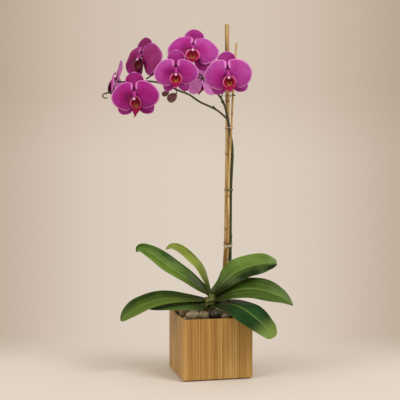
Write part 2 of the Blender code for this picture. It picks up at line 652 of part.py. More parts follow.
def elliptic_tube(name, line, widths, depths, sides, material):
    """Sweep an ellipse along a line in the flower's middle plane, and close both ends."""
    line = np.asarray(line, float)
    tangent = unit(np.gradient(line, axis=0))
    across = np.array([1.0, 0.0, 0.0])
    other = np.cross(across, tangent)
    angle = np.linspace(0, 2 * np.pi, sides, endpoint=False)
    rings = (line[:, None, :]
             + np.asarray(widths)[:, None, None] * np.cos(angle)[None, :, None] * across
             + np.asarray(depths)[:, None, None] * np.sin(angle)[None, :, None] * other[:, None, :])
    count = len(line)
    faces = []
    for i in range(count - 1):
        for j in range(sides):
            a, b = i * sides + j, i * sides + (j + 1) % sides
            faces.append((a, b, b + sides, a + sides))
    faces.append(list(reversed(range(sides))))
    faces.append([(count - 1) * sides + j for j in range(sides)])
    return add_object(name, rings.reshape(-1, 3), faces, material)


def make_lip(name, scale, material, holder):
    """The lip below, and the column above it: two swept bodies joined into one."""
    lip_line = np.array([(0, -0.0072, -0.0010), (0, -0.0092, -0.0130), (0, -0.0130, -0.0200),
                         (0, -0.0160, -0.0260), (0, -0.0175, -0.0310), (0, -0.0165, -0.0350)])
    lip = elliptic_tube(name, lip_line * scale, np.array([3, 12, 13, 11, 6, 1.5]) * 0.001 * scale,
                        np.array([1.6, 3.0, 3.0, 2.0, 1.4, 0.8]) * 0.001 * scale, 8, material)
    lip.parent = holder
    column_line = np.array([(0, -0.0058, 0.0030), (0, -0.0092, -0.0010), (0, -0.0122, -0.0060),
                            (0, -0.0138, -0.0095)])
    column = elliptic_tube(f"{name}_column", column_line * scale,
                           np.array([3.4, 3.6, 3.6, 2.6]) * 0.001 * scale,
                           np.array([2.6, 2.8, 3.0, 2.4]) * 0.001 * scale, 8, None)
    column.parent = holder
    combine(lip, column, "UNION")


def make_flower(name, at, turn, nod, roll, scale, petals, plant):
    """One flower: three sepals, two petals and the lip, about the place where they meet."""
    place = bpy.data.objects.new(f"{name}_place", None)
    bpy.context.scene.collection.objects.link(place)
    place.parent = plant
    place.location = at
    place.rotation_mode = "QUATERNION"
    place.rotation_quaternion = Matrix(flower_matrix(turn, nod, roll).tolist()).to_quaternion()
    make_sepals(f"{name}_sepals", scale, finish(f"{name}_sepal_skin", "#A8328A", 0.5), place)
    for side, label, shape in zip((-1, 1), ("left", "right"), petals):
        make_petal(f"{name}_petal_{label}", side, shape, scale,
                   finish(f"{name}_petal_{label}_skin", "#B03C92", 0.5), place)
    make_lip(f"{name}_lip", scale, finish(f"{name}_lip_skin", "#8E0F3C", 0.5), place)


# ---------------------------------------------------------------- the whole object

def clear_scene():
    """Start from an empty scene."""
    for thing in list(bpy.data.objects):
        bpy.data.objects.remove(thing, do_unlink=True)


def main():
    """Build every piece."""
    clear_scene()
    plant = bpy.data.objects.new("plant", None)
    bpy.context.scene.collection.objects.link(plant)
    plant.rotation_euler.z = PLANT_TURN
    make_planter()
    make_liner()
    make_potting_mix(plant)
    make_pebble_bed(plant)
    for name, pebble in PEBBLES.items():
        make_pebble(name, **pebble)
    make_crown(plant)
    for name, leaf in LEAVES.items():
        make_leaf(name, **leaf, holder=plant)
    make_stake("stake_thick", STAKE_THICK_LINE, STAKE_THICK_RADIUS, STAKE_THICK_NODES, 10, plant)
    make_stake("stake_thin", STAKE_THIN_LINE, STAKE_THIN_RADIUS, STAKE_THIN_NODES, 8, plant)
    make_spike(plant)
    canes = [(STAKE_THICK_LINE, STAKE_THICK_RADIUS), (STAKE_THIN_LINE, STAKE_THIN_RADIUS)]
    bundle = canes + [(SPIKE_LINE, 0.0028)]
    make_tie("tie_low", 0.2575, bundle, plant)
    make_tie("tie_middle", 0.3712, bundle, plant)
    make_tie("tie_high", 0.4985, bundle, plant)
    make_tie("tie_canes", 0.5650, canes, plant)
    for name, bud in BUDS.items():
        make_bud(name, bud["at"], bud["size"], bud["lean"], bud["colour"], plant)
    for name, flower in FLOWERS.items():
        make_flower(name, **flower, plant=plant)


main()
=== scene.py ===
"""Looks of the potted moth orchid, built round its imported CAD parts.

Metres, +Z up. The origin is the middle of the planter's underside. The plant has a frame of its
own, turned by PLANT_TURN about Z: x to the right along the spray's face, y away behind it, z up.
Shapes are worked out as grids of points in numpy and put into meshes as whole arrays.
"""

import math

import bpy
import numpy as np
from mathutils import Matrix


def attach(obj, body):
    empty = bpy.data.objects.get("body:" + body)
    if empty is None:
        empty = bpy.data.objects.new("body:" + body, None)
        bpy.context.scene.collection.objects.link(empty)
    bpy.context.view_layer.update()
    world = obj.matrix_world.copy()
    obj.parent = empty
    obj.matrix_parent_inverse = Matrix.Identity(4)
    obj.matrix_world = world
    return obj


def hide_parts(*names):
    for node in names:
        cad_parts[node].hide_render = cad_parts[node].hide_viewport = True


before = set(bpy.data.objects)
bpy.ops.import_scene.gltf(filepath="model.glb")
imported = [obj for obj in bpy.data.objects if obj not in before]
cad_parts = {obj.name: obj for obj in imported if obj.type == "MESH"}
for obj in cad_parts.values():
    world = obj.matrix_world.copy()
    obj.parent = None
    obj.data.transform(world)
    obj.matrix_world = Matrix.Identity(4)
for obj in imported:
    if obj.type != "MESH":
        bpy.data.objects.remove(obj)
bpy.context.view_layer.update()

# ---------------------------------------------------------------- sizes, in metres

PLANT_TURN = math.radians(-12.85)
POT_HALF = 0.070
WALL = 0.0078                   # bamboo board, liner and their clearances
MIX_TOP = 0.086

BED_TOP = 0.1295                # height of the pebbles at the planter's middle
BED_FALL = 0.0170               # how much lower they lie BED_REACH away from it
BED_REACH = 0.062
PLANT_MIDDLE = 0.30             # height that the lamps point at

STAKE_FOOT = 0.030
STAKE_THICK_RADIUS = 0.0044
STAKE_THIN_RADIUS = 0.0021
STAKE_THICK_LINE = [(0.0270, 0.030, STAKE_FOOT), (0.0318, 0.030, 0.205), (0.0345, 0.030, 0.257),
                    (0.0361, 0.030, 0.371), (0.0376, 0.030, 0.499), (0.0365, 0.030, 0.713)]
STAKE_THIN_LINE = [(0.0310, 0.0155, STAKE_FOOT), (0.0360, 0.0155, 0.211), (0.0385, 0.0155, 0.258),
                   (0.0393, 0.0155, 0.310), (0.0395, 0.0155, 0.391), (0.0452, 0.0155, 0.498),
                   (0.0475, 0.0155, 0.556), (0.0554, 0.0155, 0.672)]
STAKE_THICK_NODES = [0.17, 0.292, 0.447, 0.556]
STAKE_THIN_NODES = [0.23, 0.36, 0.528]

STEM_RADIUS = 0.0028
FORK = (0.0379, 0.0220, 0.516)
SPIKE_LINE = [(0.0085, 0.0065, 0.141), (0.0170, 0.0130, 0.146), (0.0290, 0.0210, 0.163),
              (0.0385, 0.0224, 0.190), (0.0424, 0.0222, 0.222), (0.0430, 0.0222, 0.288),
              (0.0439, 0.0222, 0.371), (0.0470, 0.0222, 0.436), (0.0465, 0.0222, 0.463),
              (0.0430, 0.0222, 0.486), (0.0403, 0.0222, 0.502), FORK]
UPPER_BRANCH = [FORK, (0.0315, 0.0190, 0.543), (0.0195, 0.0150, 0.5645), (-0.0095, 0.0080, 0.5925),
                (-0.0200, 0.0060, 0.606), (-0.0500, 0.0040, 0.6190), (-0.0840, 0.0040, 0.6180),
                (-0.1128, 0.0030, 0.606), (-0.1290, 0.0020, 0.5960)]
LOWER_BRANCH = [FORK, (0.0142, 0.0120, 0.5345), (-0.0193, 0.0000, 0.549), (-0.0408, -0.0040, 0.563),
                (-0.0605, -0.0060, 0.5705), (-0.0800, -0.0060, 0.5790), (-0.1063, -0.0060, 0.5880),
                (-0.1300, -0.0100, 0.5895), (-0.1540, -0.0210, 0.5865), (-0.1760, -0.0300, 0.5770),
                (-0.1940, -0.0330, 0.5650), (-0.2050, -0.0330, 0.5625), (-0.2115, -0.0330, 0.5600),
                (-0.2125, -0.0330, 0.5555), (-0.2090, -0.0330, 0.5525), (-0.2030, -0.0330, 0.5530)]

# Leaves: centre line from inside the crown to the tip, greatest half-width, the tilt that lowers
# the near edge (degrees at the base and the tip), the fold along the midrib (degrees), how round
# the tip is, how far the edges ripple, the dark and light green of its blade, how much lighter its
# far half is than its near half as painted light and shade, and how much lighter its tip is as a
# painted highlight. foot is the width at the crown as a share of the greatest, and widest is where
# along its length the leaf is widest, as a share.
LEAVES = {
    "leaf_lower_left": dict(
        line=[(-0.0010, 0.0005, 0.1430), (-0.0095, -0.0020, 0.1455), (-0.0419, -0.0100, 0.1505),
              (-0.0783, -0.0200, 0.1525), (-0.1069, -0.0280, 0.1490), (-0.1330, -0.0340, 0.1400),
              (-0.1542, -0.0390, 0.1280), (-0.1755, -0.0430, 0.1110)],
        half_width=0.0262, tilt=(36, 26), keel=16, tip=1.7, ripple=0.0004, foot=0.22, widest=0.76,
        greens=("#20360C", "#5A7224"), half_shading=-0.26, last=0.16),
    "leaf_bottom_left": dict(
        line=[(-0.0005, -0.0040, 0.1330), (-0.0100, -0.0060, 0.1365), (-0.0444, -0.0140, 0.1400),
              (-0.0835, -0.0230, 0.1408), (-0.1225, -0.0320, 0.1345)],
        half_width=0.0200, tilt=(44, 26), keel=8, tip=2.0, ripple=0.0003, foot=0.66,
        greens=("#2C4014", "#58743A"), half_shading=-0.05, last=0.05),
    "leaf_upper_left": dict(
        line=[(0.0030, 0.0005, 0.1500), (-0.0085, 0.0020, 0.1615), (-0.0423, 0.0080, 0.1865),
              (-0.0622, 0.0120, 0.1990), (-0.0835, 0.0160, 0.2125), (-0.1049, 0.0200, 0.2280),
              (-0.1251, 0.0230, 0.2415), (-0.1415, 0.0250, 0.2490), (-0.1510, 0.0260, 0.2430)],
        half_width=0.0245, tilt=(32, 36), keel=22, tip=2.2, ripple=0.0004,
        greens=("#2A4C10", "#74923A"), half_shading=-0.16, last=0.0),
    "leaf_young": dict(
        line=[(0.0030, 0.0040, 0.1560), (-0.0020, 0.0070, 0.1690), (-0.0095, 0.0110, 0.1890),
              (-0.0205, 0.0180, 0.2110), (-0.0405, 0.0260, 0.2310), (-0.0603, 0.0330, 0.2470),
              (-0.0767, 0.0380, 0.2530), (-0.0904, 0.0410, 0.2473)],
        half_width=0.0132, tilt=(26, 30), keel=16, tip=2.2, ripple=0.0003, foot=0.24, widest=0.72,
        greens=("#56681A", "#A0AC4C"), half_shading=-0.05, last=0.0),
    "leaf_upper_right": dict(
        line=[(0.0020, 0.0010, 0.1480), (0.0095, -0.0030, 0.1610), (0.0293, -0.0100, 0.1840),
              (0.0496, -0.0110, 0.2030), (0.0772, -0.0080, 0.2150), (0.1062, -0.0040, 0.2210),
              (0.1275, -0.0010, 0.2215), (0.1368, 0.0000, 0.2200)],
        half_width=0.0260, tilt=(62, 52), keel=12, tip=2.2, ripple=0.0038, foot=0.30,
        greens=("#142606", "#648436"), half_shading=0.36, last=0.0),
    "leaf_middle_right": dict(
        line=[(0.0030, -0.0020, 0.1400), (0.0100, -0.0070, 0.1490), (0.0431, -0.0170, 0.1655),
              (0.0675, -0.0220, 0.1710), (0.0879, -0.0250, 0.1720), (0.1084, -0.0280, 0.1690),
              (0.1296, -0.0310, 0.1620), (0.1476, -0.0335, 0.1540), (0.1660, -0.0365, 0.1405)],
        half_width=0.0290, tilt=(42, 40), keel=10, tip=1.0, ripple=0.0008,
        greens=("#142608", "#5C7A2E"), half_shading=0.02, last=0.22),
    "leaf_front_right": dict(
        line=[(0.0030, -0.0090, 0.1330), (0.0095, -0.0130, 0.1385), (0.0396, -0.0330, 0.1430),
              (0.0628, -0.0560, 0.1380), (0.0800, -0.0730, 0.1285), (0.0960, -0.0850, 0.1165),
              (0.1110, -0.0930, 0.1035), (0.1210, -0.0970, 0.0885)],
        half_width=0.0315, tilt=(22, 22), keel=-4, tip=2.9, ripple=0.0012, foot=0.40, widest=0.68,
        greens=("#061E06", "#245020"), half_shading=0.08, last=0.75),
}

# Flowers: where sepals and petals meet, turn (degrees, positive faces left), nod (positive looks
# down), roll (positive leans the top to the left) and scale. Of the lip: how far it is turned
# further left (degrees) and moved to the right (metres), how deep in painted shade it is, and how
# wide and how long its middle lobe is. Then, for the left and the right petal: how far it swings
# up (degrees), the share by which it is longer above and below than the outline, and how faded it
# is, partly its own paler colour and partly painted light. laterals are the directions of the two
# lower sepals (degrees) and their breadth, and tone names the flower's colours in TONES.
FLOWERS = {
    "flower_right": dict(at=(0.0366, -0.0400, 0.6000), turn=0, nod=10, roll=7, scale=1.0,
                         lip=(0, 0.0, 0.0, 1.3, 1.05), tone="fair",
                         petals=((0, 0.03, 0.0, 0.75), (0, -0.03, 0.02, 0.65))),
    "flower_centre": dict(at=(-0.0663, -0.0500, 0.6040), turn=0, nod=10, roll=0, scale=0.93,
                          lip=(0, 0.0, 0.0, 0.9, 1.1), tone="fair", laterals=(242, 299, 0.66),
                          petals=((-6, -0.09, 0.05, 0.8), (-3, -0.13, -0.06, 0.0))),
    "flower_top": dict(at=(-0.0330, -0.0120, 0.6540), turn=0, nod=-14, roll=-4, scale=1.09,
                       lip=(0, 0.0, 0.05, 1.0, 1.0), tone="fair",
                       petals=((3, -0.12, -0.25, 0.0), (6, -0.20, 0.02, 0.45))),
    "flower_shaded": dict(at=(-0.1365, -0.0100, 0.6370), turn=38, nod=-9, roll=7, scale=1.04,
                          lip=(0, 0.0, 0.75, 1.0, 0.9), tone="dusk",
                          petals=((0, -0.10, 0.0, 0.4), (-6, -0.02, 0.22, 0.6))),
    "flower_lower_left": dict(at=(-0.1472, -0.0500, 0.5572), turn=3, nod=10, roll=2, scale=1.0,
                              lip=(26, 0.0030, 0.25, 1.0, 1.5), tone="deep",
                              petals=((-3, -0.11, 0.03, 0.6), (0, -0.05, -0.06, 0.0))),
    "flower_far_left": dict(at=(-0.1925, 0.0200, 0.5940), turn=96, nod=-6, roll=0, scale=1.0,
                            lip=(0, 0.0, 0.85, 0.8, 0.35), tone="fair",
                            petals=((-25, -0.30, 0.0, 0.8), (-25, -0.30, 0.0, 0.8))),
    "flower_turned_away": dict(at=(-0.0165, 0.0300, 0.6010), turn=158, nod=0, roll=0, scale=0.86,
                               lip=(0, 0.0, 0.0, 1.0, 1.0), tone="fair",
                               petals=((0, 0.0, 0.0, 0.9), (0, 0.0, 0.0, 0.9))),
}
# Where each flower's stalk leaves its branch.
STALKS = {
    "flower_right": (0.0240, 0.0160, 0.5570),
    "flower_centre": (-0.0500, -0.0050, 0.5670),
    "flower_top": (-0.0230, 0.0058, 0.6080),
    "flower_shaded": (-0.1128, 0.0030, 0.6060),
    "flower_lower_left": (-0.1220, -0.0080, 0.5895),
    "flower_far_left": (-0.1500, -0.0190, 0.5870),
    "flower_turned_away": (-0.0095, 0.0080, 0.5925),
}
# The pale rim is partly the petals' own colour and partly a painted highlight.
TONES = {                       # deep, middle and light petal colours, how strong the pale rim is
    "fair": ("#84085C", "#A81E86", "#BE4CA8", 0.7),
    "deep": ("#780850", "#A00E76", "#AC2C90", 0.6),
    # Painted shade: the petal colours darkened, with a weaker pale rim, for the flower in shade.
    "dusk": ("#4E0830", "#880E60", "#94306E", 0.25),
}

# Buds: stalk foot on the branch, middle of the bud, half-length and half-width, long axis.
BUDS = {
    "bud_large": dict(foot=(-0.0660, -0.0060, 0.5730), at=(-0.0752, -0.0140, 0.5562),
                      size=(0.0113, 0.0092), lean=(-0.72, -0.25, -0.62)),
    "bud_small": dict(foot=(-0.0860, -0.0060, 0.5815), at=(-0.0890, -0.0120, 0.5645),
                      size=(0.0078, 0.0056), lean=(-0.86, -0.20, -0.42)),
}

# Pebbles that show in front, in the planter's frame: middle, half-sizes, turn and tilt (degrees).
PEBBLES = {
    "pebble_long": dict(at=(-0.0433, -0.0400, 0.1225), half=(0.0150, 0.0085, 0.0085), turn=-12, tilt=4,
                        colour="#867859"),
    "pebble_left": dict(at=(-0.0540, 0.0110, 0.1205), half=(0.0062, 0.0110, 0.0090), turn=10, tilt=0,
                        colour="#D0BC94"),
    "pebble_oval": dict(at=(-0.0195, -0.0440, 0.1220), half=(0.0070, 0.0085, 0.0078), turn=0, tilt=-6,
                        colour="#7A7254"),
    "pebble_dark": dict(at=(0.0012, -0.0380, 0.1230), half=(0.0115, 0.0100, 0.0100), turn=15, tilt=3,
                        colour="#302A1C"),
    "pebble_right": dict(at=(0.0235, -0.0505, 0.1215), half=(0.0118, 0.0088, 0.0078), turn=-10, tilt=-4,
                         colour="#766848"),
}


# ---------------------------------------------------------------- curves and grids

def unit(vectors):
    """Scale vectors to length one."""
    return vectors / np.linalg.norm(vectors, axis=-1, keepdims=True)


def smooth_path(points, shares):
    """Read points at the given shares of the length of a Catmull-Rom curve through the points."""
    p = np.asarray(points, float)
    p = np.vstack([2 * p[0] - p[1], p, 2 * p[-1] - p[-2]])
    t = np.linspace(0, 1, 24, endpoint=False)[None, :, None]
    a, b, c, d = (q[:, None, :] for q in (p[:-3], p[1:-2], p[2:-1], p[3:]))
    runs = 0.5 * (2 * b + (c - a) * t + (2 * a - 5 * b + 4 * c - d) * t ** 2
                  + (3 * b - a - 3 * c + d) * t ** 3)
    dense = np.vstack([runs.reshape(-1, 3), p[-2:-1]])
    along = np.concatenate([[0], np.cumsum(np.linalg.norm(np.diff(dense, axis=0), axis=1))])
    wanted = np.asarray(shares) * along[-1]
    return np.stack([np.interp(wanted, along, dense[:, k]) for k in range(3)], axis=1)


def eased(x, knots):
    """Read a smooth curve through (x, y) knots: a cubic per stretch, with sloped knots between."""
    kx, ky = np.array(knots, float).T
    slope = np.gradient(ky, kx)
    i = np.clip(np.searchsorted(kx, x, side="right") - 1, 0, len(kx) - 2)
    h = kx[i + 1] - kx[i]
    t = (x - kx[i]) / h
    return ((2 * t ** 3 - 3 * t ** 2 + 1) * ky[i] + (t ** 3 - 2 * t ** 2 + t) * h * slope[i]
            + (3 * t ** 2 - 2 * t ** 3) * ky[i + 1] + (t ** 3 - t ** 2) * h * slope[i + 1])


def bell(x, middle, width):
    """A smooth bump of height one about a middle."""
    return np.exp(-((x - middle) / width) ** 2)


def full_turn(count):
    """Angles of a full turn in even steps."""
    return np.linspace(0, 2 * np.pi, count, endpoint=False)


def turned(points, degrees, axis):
    """Turn points about the axis numbered 0, 1 or 2, by the right-hand rule."""
    a = math.radians(degrees)
    j, k = (axis + 1) % 3, (axis + 2) % 3
    out = np.array(points, float)
    out[..., j] = math.cos(a) * points[..., j] - math.sin(a) * points[..., k]
    out[..., k] = math.sin(a) * points[..., j] + math.cos(a) * points[..., k]
    return out


def from_plant(points):
    """Carry points from the plant's frame to the planter's."""
    return turned(np.asarray(points, float), math.degrees(PLANT_TURN), 2)


def grid_quads(rows, columns, wrap=False):
    """Quads of a grid of points, row by row; wrap joins the last column to the first."""
    index = np.arange(rows * columns).reshape(rows, columns)
    if wrap:
        index = np.hstack([index, index[:, :1]])
    corners = [index[:-1, :-1], index[1:, :-1], index[1:, 1:], index[:-1, 1:]]
    return np.stack(corners, axis=-1).reshape(-1, 4)


def closed(points, faces, marks):
    """One closed surface as (points, faces, marks), its faces turned outwards by its volume's sign."""
    volume = 0.0
    for f in faces:
        fan = [f[:, [0, k, k + 1]] for k in range(1, f.shape[1] - 1)]
        a, b, c = points[np.vstack(fan)].transpose(1, 0, 2)
        volume += np.einsum("ij,ij->", a, np.cross(b, c))
    if volume < 0:
        faces = [f[:, ::-1] for f in faces]
    return points, faces, marks


def plate(surface, thickness):
    """Thicken a grid surface: one grid to each side along its normals, joined round the rim. The
    mark back is 1 on the second grid."""
    rows, columns = surface.shape[:2]
    normal = unit(np.cross(np.gradient(surface, axis=0), np.gradient(surface, axis=1)))
    half = normal * np.broadcast_to(thickness, (rows, columns))[..., None] / 2
    points = np.concatenate([(surface + half).reshape(-1, 3), (surface - half).reshape(-1, 3)])
    index = np.arange(rows * columns).reshape(rows, columns)
    rim = np.concatenate([index[:-1, 0], index[-1, :-1], index[:0:-1, -1], index[0, :0:-1]])
    after, back = np.roll(rim, -1), rows * columns
    front = grid_quads(rows, columns)
    edge = np.stack([after, rim, back + rim, back + after], axis=1)
    return closed(points, [front, front[:, ::-1] + back, edge], {"back": np.repeat([0.0, 1.0], back)})


def gridded(body, **values):
    """Add marks given on a plate's grid, the same on both of its sides."""
    points, faces, marks = body
    return points, faces, marks | {name: np.tile(np.ravel(v), 2) for name, v in values.items()}


def capped(rings, first, last):
    """Close a stack of rings, an array (count, sides, 3), with a pole point at each end."""
    count, sides = rings.shape[:2]
    points = np.vstack([rings.reshape(-1, 3), first, last])
    j = np.arange(sides)
    n = np.roll(j, -1)
    low, high = count * sides, count * sides + 1
    foot = np.stack([np.full(sides, low), j, n], axis=1)
    head = np.stack([np.full(sides, high), n + (count - 1) * sides, j + (count - 1) * sides], axis=1)
    along = np.concatenate([np.repeat(np.linspace(0, 1, count), sides), [0, 1]])
    around = np.concatenate([np.tile(j / sides, count), [0, 0]])
    marks = {"along": along, "across": around, "back": np.zeros(len(points))}
    return closed(points, [grid_quads(count, sides, wrap=True), foot, head], marks)


def tube(path, radii, sides, guide=(0.0, 1.0, 0.0), flat=1.0):
    """Sweep an ellipse along a path. radii has one value per point, or one per point and side; the
    ellipse is flat times as thick along the guide as across it."""
    path = np.asarray(path, float)
    tangent = unit(np.gradient(path, axis=0))
    across = unit(np.cross(tangent, guide))
    other = np.cross(across, tangent)
    angle = full_turn(sides)
    radii = np.asarray(radii, float)
    reach = (radii[:, None] if radii.ndim == 1 else radii)[..., None]
    rings = path[:, None, :] + reach * (np.cos(angle)[None, :, None] * across[:, None, :]
                                        + flat * np.sin(angle)[None, :, None] * other[:, None, :])
    return capped(rings, path[0], path[-1])


def moved(body, change):
    """Carry a body's points by a function."""
    points, faces, marks = body
    return change(points), faces, marks


def planted(bodies):
    """Carry bodies from the plant's frame to the planter's."""
    return [moved(body, from_plant) for body in bodies]


def marked(body, **values):
    """Add marks that are the same all over a body."""
    points, faces, marks = body
    return points, faces, marks | {name: np.full(len(points), float(v)) for name, v in values.items()}


# ---------------------------------------------------------------- making pieces

def add_piece(name, bodies, material, nodes, crease=50):
    """Put closed bodies into one mesh that stands for CAD nodes and rides on the only body."""
    points, faces, start = [], [], 0
    for body_points, body_faces, _ in bodies:
        points.append(body_points)
        faces += [(f + start).tolist() for f in body_faces]
        start += len(body_points)
    mesh = bpy.data.meshes.new(name)
    mesh.from_pydata(np.vstack(points), [], [f for group in faces for f in group])
    for mark in sorted(set().union(*(marks for _, _, marks in bodies))):
        values = [marks.get(mark, np.zeros(len(p))) for p, _, marks in bodies]
        mesh.attributes.new(mark, "FLOAT", "POINT").data.foreach_set("value", np.concatenate(values))
    mesh.materials.append(material)
    mesh.shade_smooth()
    mesh.set_sharp_from_angle(angle=math.radians(crease))
    piece = bpy.data.objects.new(name, mesh)
    bpy.context.scene.collection.objects.link(piece)
    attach(piece, "root")
    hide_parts(*nodes)
    return piece


def refinish(node, material):
    """Give a CAD node that stays in view its material."""
    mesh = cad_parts[node].data
    mesh.materials.clear()
    mesh.materials.append(material)


# ---------------------------------------------------------------- material helpers

def linear(hex_colour):
    """Turn an sRGB hex colour into linear red, green, blue and alpha."""
    channels = [int(hex_colour[i:i + 2], 16) / 255 for i in (1, 3, 5)]
    return [c / 12.92 if c <= 0.04045 else ((c + 0.055) / 1.055) ** 2.4 for c in channels] + [1.0]


def shaded(hex_colour, share):
    """A hex colour made darker or lighter by a share."""
    values = [min(255, round(int(hex_colour[i:i + 2], 16) * share)) for i in (1, 3, 5)]
    return "#" + "".join(f"{value:02X}" for value in values)


def add(tree, kind, inputs=None, output=0, **settings):
    """Add one node with its settings, values and links, and give one of its outputs."""
    node = tree.nodes.new("ShaderNode" + kind)
    for name, value in settings.items():
        setattr(node, name, value)
    for socket, value in (inputs or {}).items():
        if isinstance(value, bpy.types.NodeSocket):
            tree.links.new(value, node.inputs[socket])
        else:
            node.inputs[socket].default_value = value
    return node.outputs[output] if node.outputs else None


def ramp(tree, value, stops):
    """Turn a value into a colour that runs between stops, each a position and a hex colour."""
    colour = add(tree, "ValToRGB", {0: value})
    ends = colour.node.color_ramp.elements
    for end, (position, shade) in ((ends[0], stops[0]), (ends[1], stops[-1])):
        end.position, end.color = position, linear(shade)
    for position, shade in stops[1:-1]:
        ends.new(position).color = linear(shade)
    return colour


def smooth_step(tree, value, start, end):
    """Ease from 0 where a value is start to 1 where it is end."""
    return add(tree, "MapRange", {0: value, 1: start, 2: end}, interpolation_type="SMOOTHSTEP")


def object_place(tree):
    """The place on the object, in metres."""
    return add(tree, "TexCoord", output="Object")


def coordinate(tree, place, axis):
    """One coordinate of a place: 0, 1 or 2."""
    return add(tree, "SeparateXYZ", {0: place}, output=axis)


def noise(tree, place, scale, detail=2.0):
    """Cloudy noise; the scale is per metre of the place."""
    return add(tree, "TexNoise", {"Vector": place, "Scale": scale, "Detail": detail})


def new_material(name, **values):
    """Start a material: give it and its node tree, with plain values set on its Principled shader."""
    material = bpy.data.materials.new(name)
    material.use_nodes = True
    tree = material.node_tree
    shader = tree.nodes["Principled BSDF"]
    for socket, value in values.items():
        shader.inputs[socket.replace("_", " ")].default_value = value
    return material, tree


def finished(material, colour, relief=None, strength=0.0, depth=0.0):
    """Give a material its colour and, where it has one, a relief of some depth in metres."""
    tree = material.node_tree
    shader = tree.nodes["Principled BSDF"]
    tree.links.new(colour, shader.inputs["Base Color"])
    if relief is not None:
        bump = add(tree, "Bump", {"Height": relief, "Strength": strength, "Distance": depth})
        tree.links.new(bump, shader.inputs["Normal"])
    return material


def mark(tree, name):
    """Read one of the numbers stored at a piece's points."""
    return add(tree, "Attribute", attribute_name=name, output="Fac")


def calculate(tree, operation, *values, **settings):
    """Work out one value from up to three others."""
    return add(tree, "Math", dict(enumerate(values)), operation=operation, **settings)


def times(tree, value, factor, plus=0.0):
    """Multiply a value and add to it."""
    return calculate(tree, "MULTIPLY_ADD", value, factor, plus)


def stretched_noise(tree, place, across, along):
    """Noise drawn out along Z, as in fibres; the two scales are per metre."""
    stretched = add(tree, "Mapping", {"Vector": place, "Scale": (across, across, along)})
    return noise(tree, stretched, 1.0, 3.0)


def mixed(tree, factor, first, second, blend="MIX"):
    """Blend two colours by a factor."""
    inputs = {0: factor, 6: first, 7: second}
    return add(tree, "Mix", inputs, output=2, data_type="RGBA", blend_type=blend)


# ---------------------------------------------------------------- materials

def laminated_bamboo(name, axis):
    """Planed and oiled laminated bamboo: upright strips of near tans, about 10 mm wide, each of
    finer slats, with long fibres, thin glue lines and a soft sheen. It is a little darker higher up,
    painted shade of the leaves above. axis runs across the strips."""
    material, tree = new_material(name, Roughness=0.48, Specular_IOR_Level=0.35)
    place = object_place(tree)
    across = coordinate(tree, place, axis)
    tones = []
    for per_metre in (100.0, 420.0):
        cell = add(tree, "TexVoronoi", {"W": across, "Scale": per_metre}, output="Color",
                   voronoi_dimensions="1D")
        tones.append(add(tree, "SeparateColor", {0: cell}))
    grain = stretched_noise(tree, place, 1300.0, 20.0)
    cloud = stretched_noise(tree, place, 150.0, 12.0)
    height = coordinate(tree, place, 2)
    # Painted shade: the tone falls with height, for the leaves' shadow on the upper boards.
    tone = times(tree, tones[1], 0.30, times(tree, tones[0], 0.17, times(tree, height, -0.9, 0.09)))
    tone = times(tree, grain, 0.44, times(tree, cloud, 0.28, tone))
    tan = ramp(tree, tone, [(0.30, "#8C6228"), (0.50, "#A67C3C"), (0.64, "#B48A48"), (0.85, "#C8A462")])
    edge = add(tree, "TexVoronoi", {"W": across, "Scale": 100.0}, output="Distance",
               voronoi_dimensions="1D", feature="DISTANCE_TO_EDGE")
    seam = ramp(tree, edge, [(0.0, "#8E7448"), (0.05, "#FFFFFF"), (1.0, "#FFFFFF")])
    tan = mixed(tree, 0.6, tan, seam, "MULTIPLY")
    return finished(material, tan, grain, 0.15, 0.0005)


def liner_plastic():
    """Thin black-brown nursery liner, moulded: plain, matt, with a faint haze."""
    material, tree = new_material("liner_polypropylene", Roughness=0.5)
    haze = noise(tree, object_place(tree), 160.0, 3.0)
    dark = ramp(tree, haze, [(0.3, "#14110C"), (0.8, "#2A241A")])
    return finished(material, dark)


def bark_mix():
    """Chopped bark potting mix: dark, dry and rough, in chips of about 5 mm."""
    material, tree = new_material("bark_potting_mix", Roughness=0.9)
    place = object_place(tree)
    chip = add(tree, "TexVoronoi", {"Vector": place, "Scale": 200.0}, output="Color")
    pick = add(tree, "SeparateColor", {0: chip})
    brown = ramp(tree, pick, [(0.0, "#1E140C"), (0.6, "#3E2C1C"), (1.0, "#5E4630")])
    return finished(material, brown, pick, 0.6, 0.002)


def river_stone(name, dark, light):
    """A tumbled river stone: smooth, half-glossy, mottled in one family of tones, with a faint
    paler band and fine dark specks."""
    material, tree = new_material(name, Roughness=0.38, Specular_IOR_Level=0.45)
    place = object_place(tree)
    cloud = noise(tree, place, 130.0, 4.0)
    fleck = noise(tree, place, 620.0)
    band = add(tree, "TexWave", {"Vector": place, "Scale": 34.0, "Distortion": 7.0, "Detail": 2.0},
               bands_direction="DIAGONAL")
    tone = times(tree, fleck, 0.40, times(tree, band, 0.14, times(tree, cloud, 0.90, -0.20)))
    colour = ramp(tree, tone, [(0.30, dark), (0.72, light)])
    return finished(material, colour, cloud, 0.12, 0.0006)


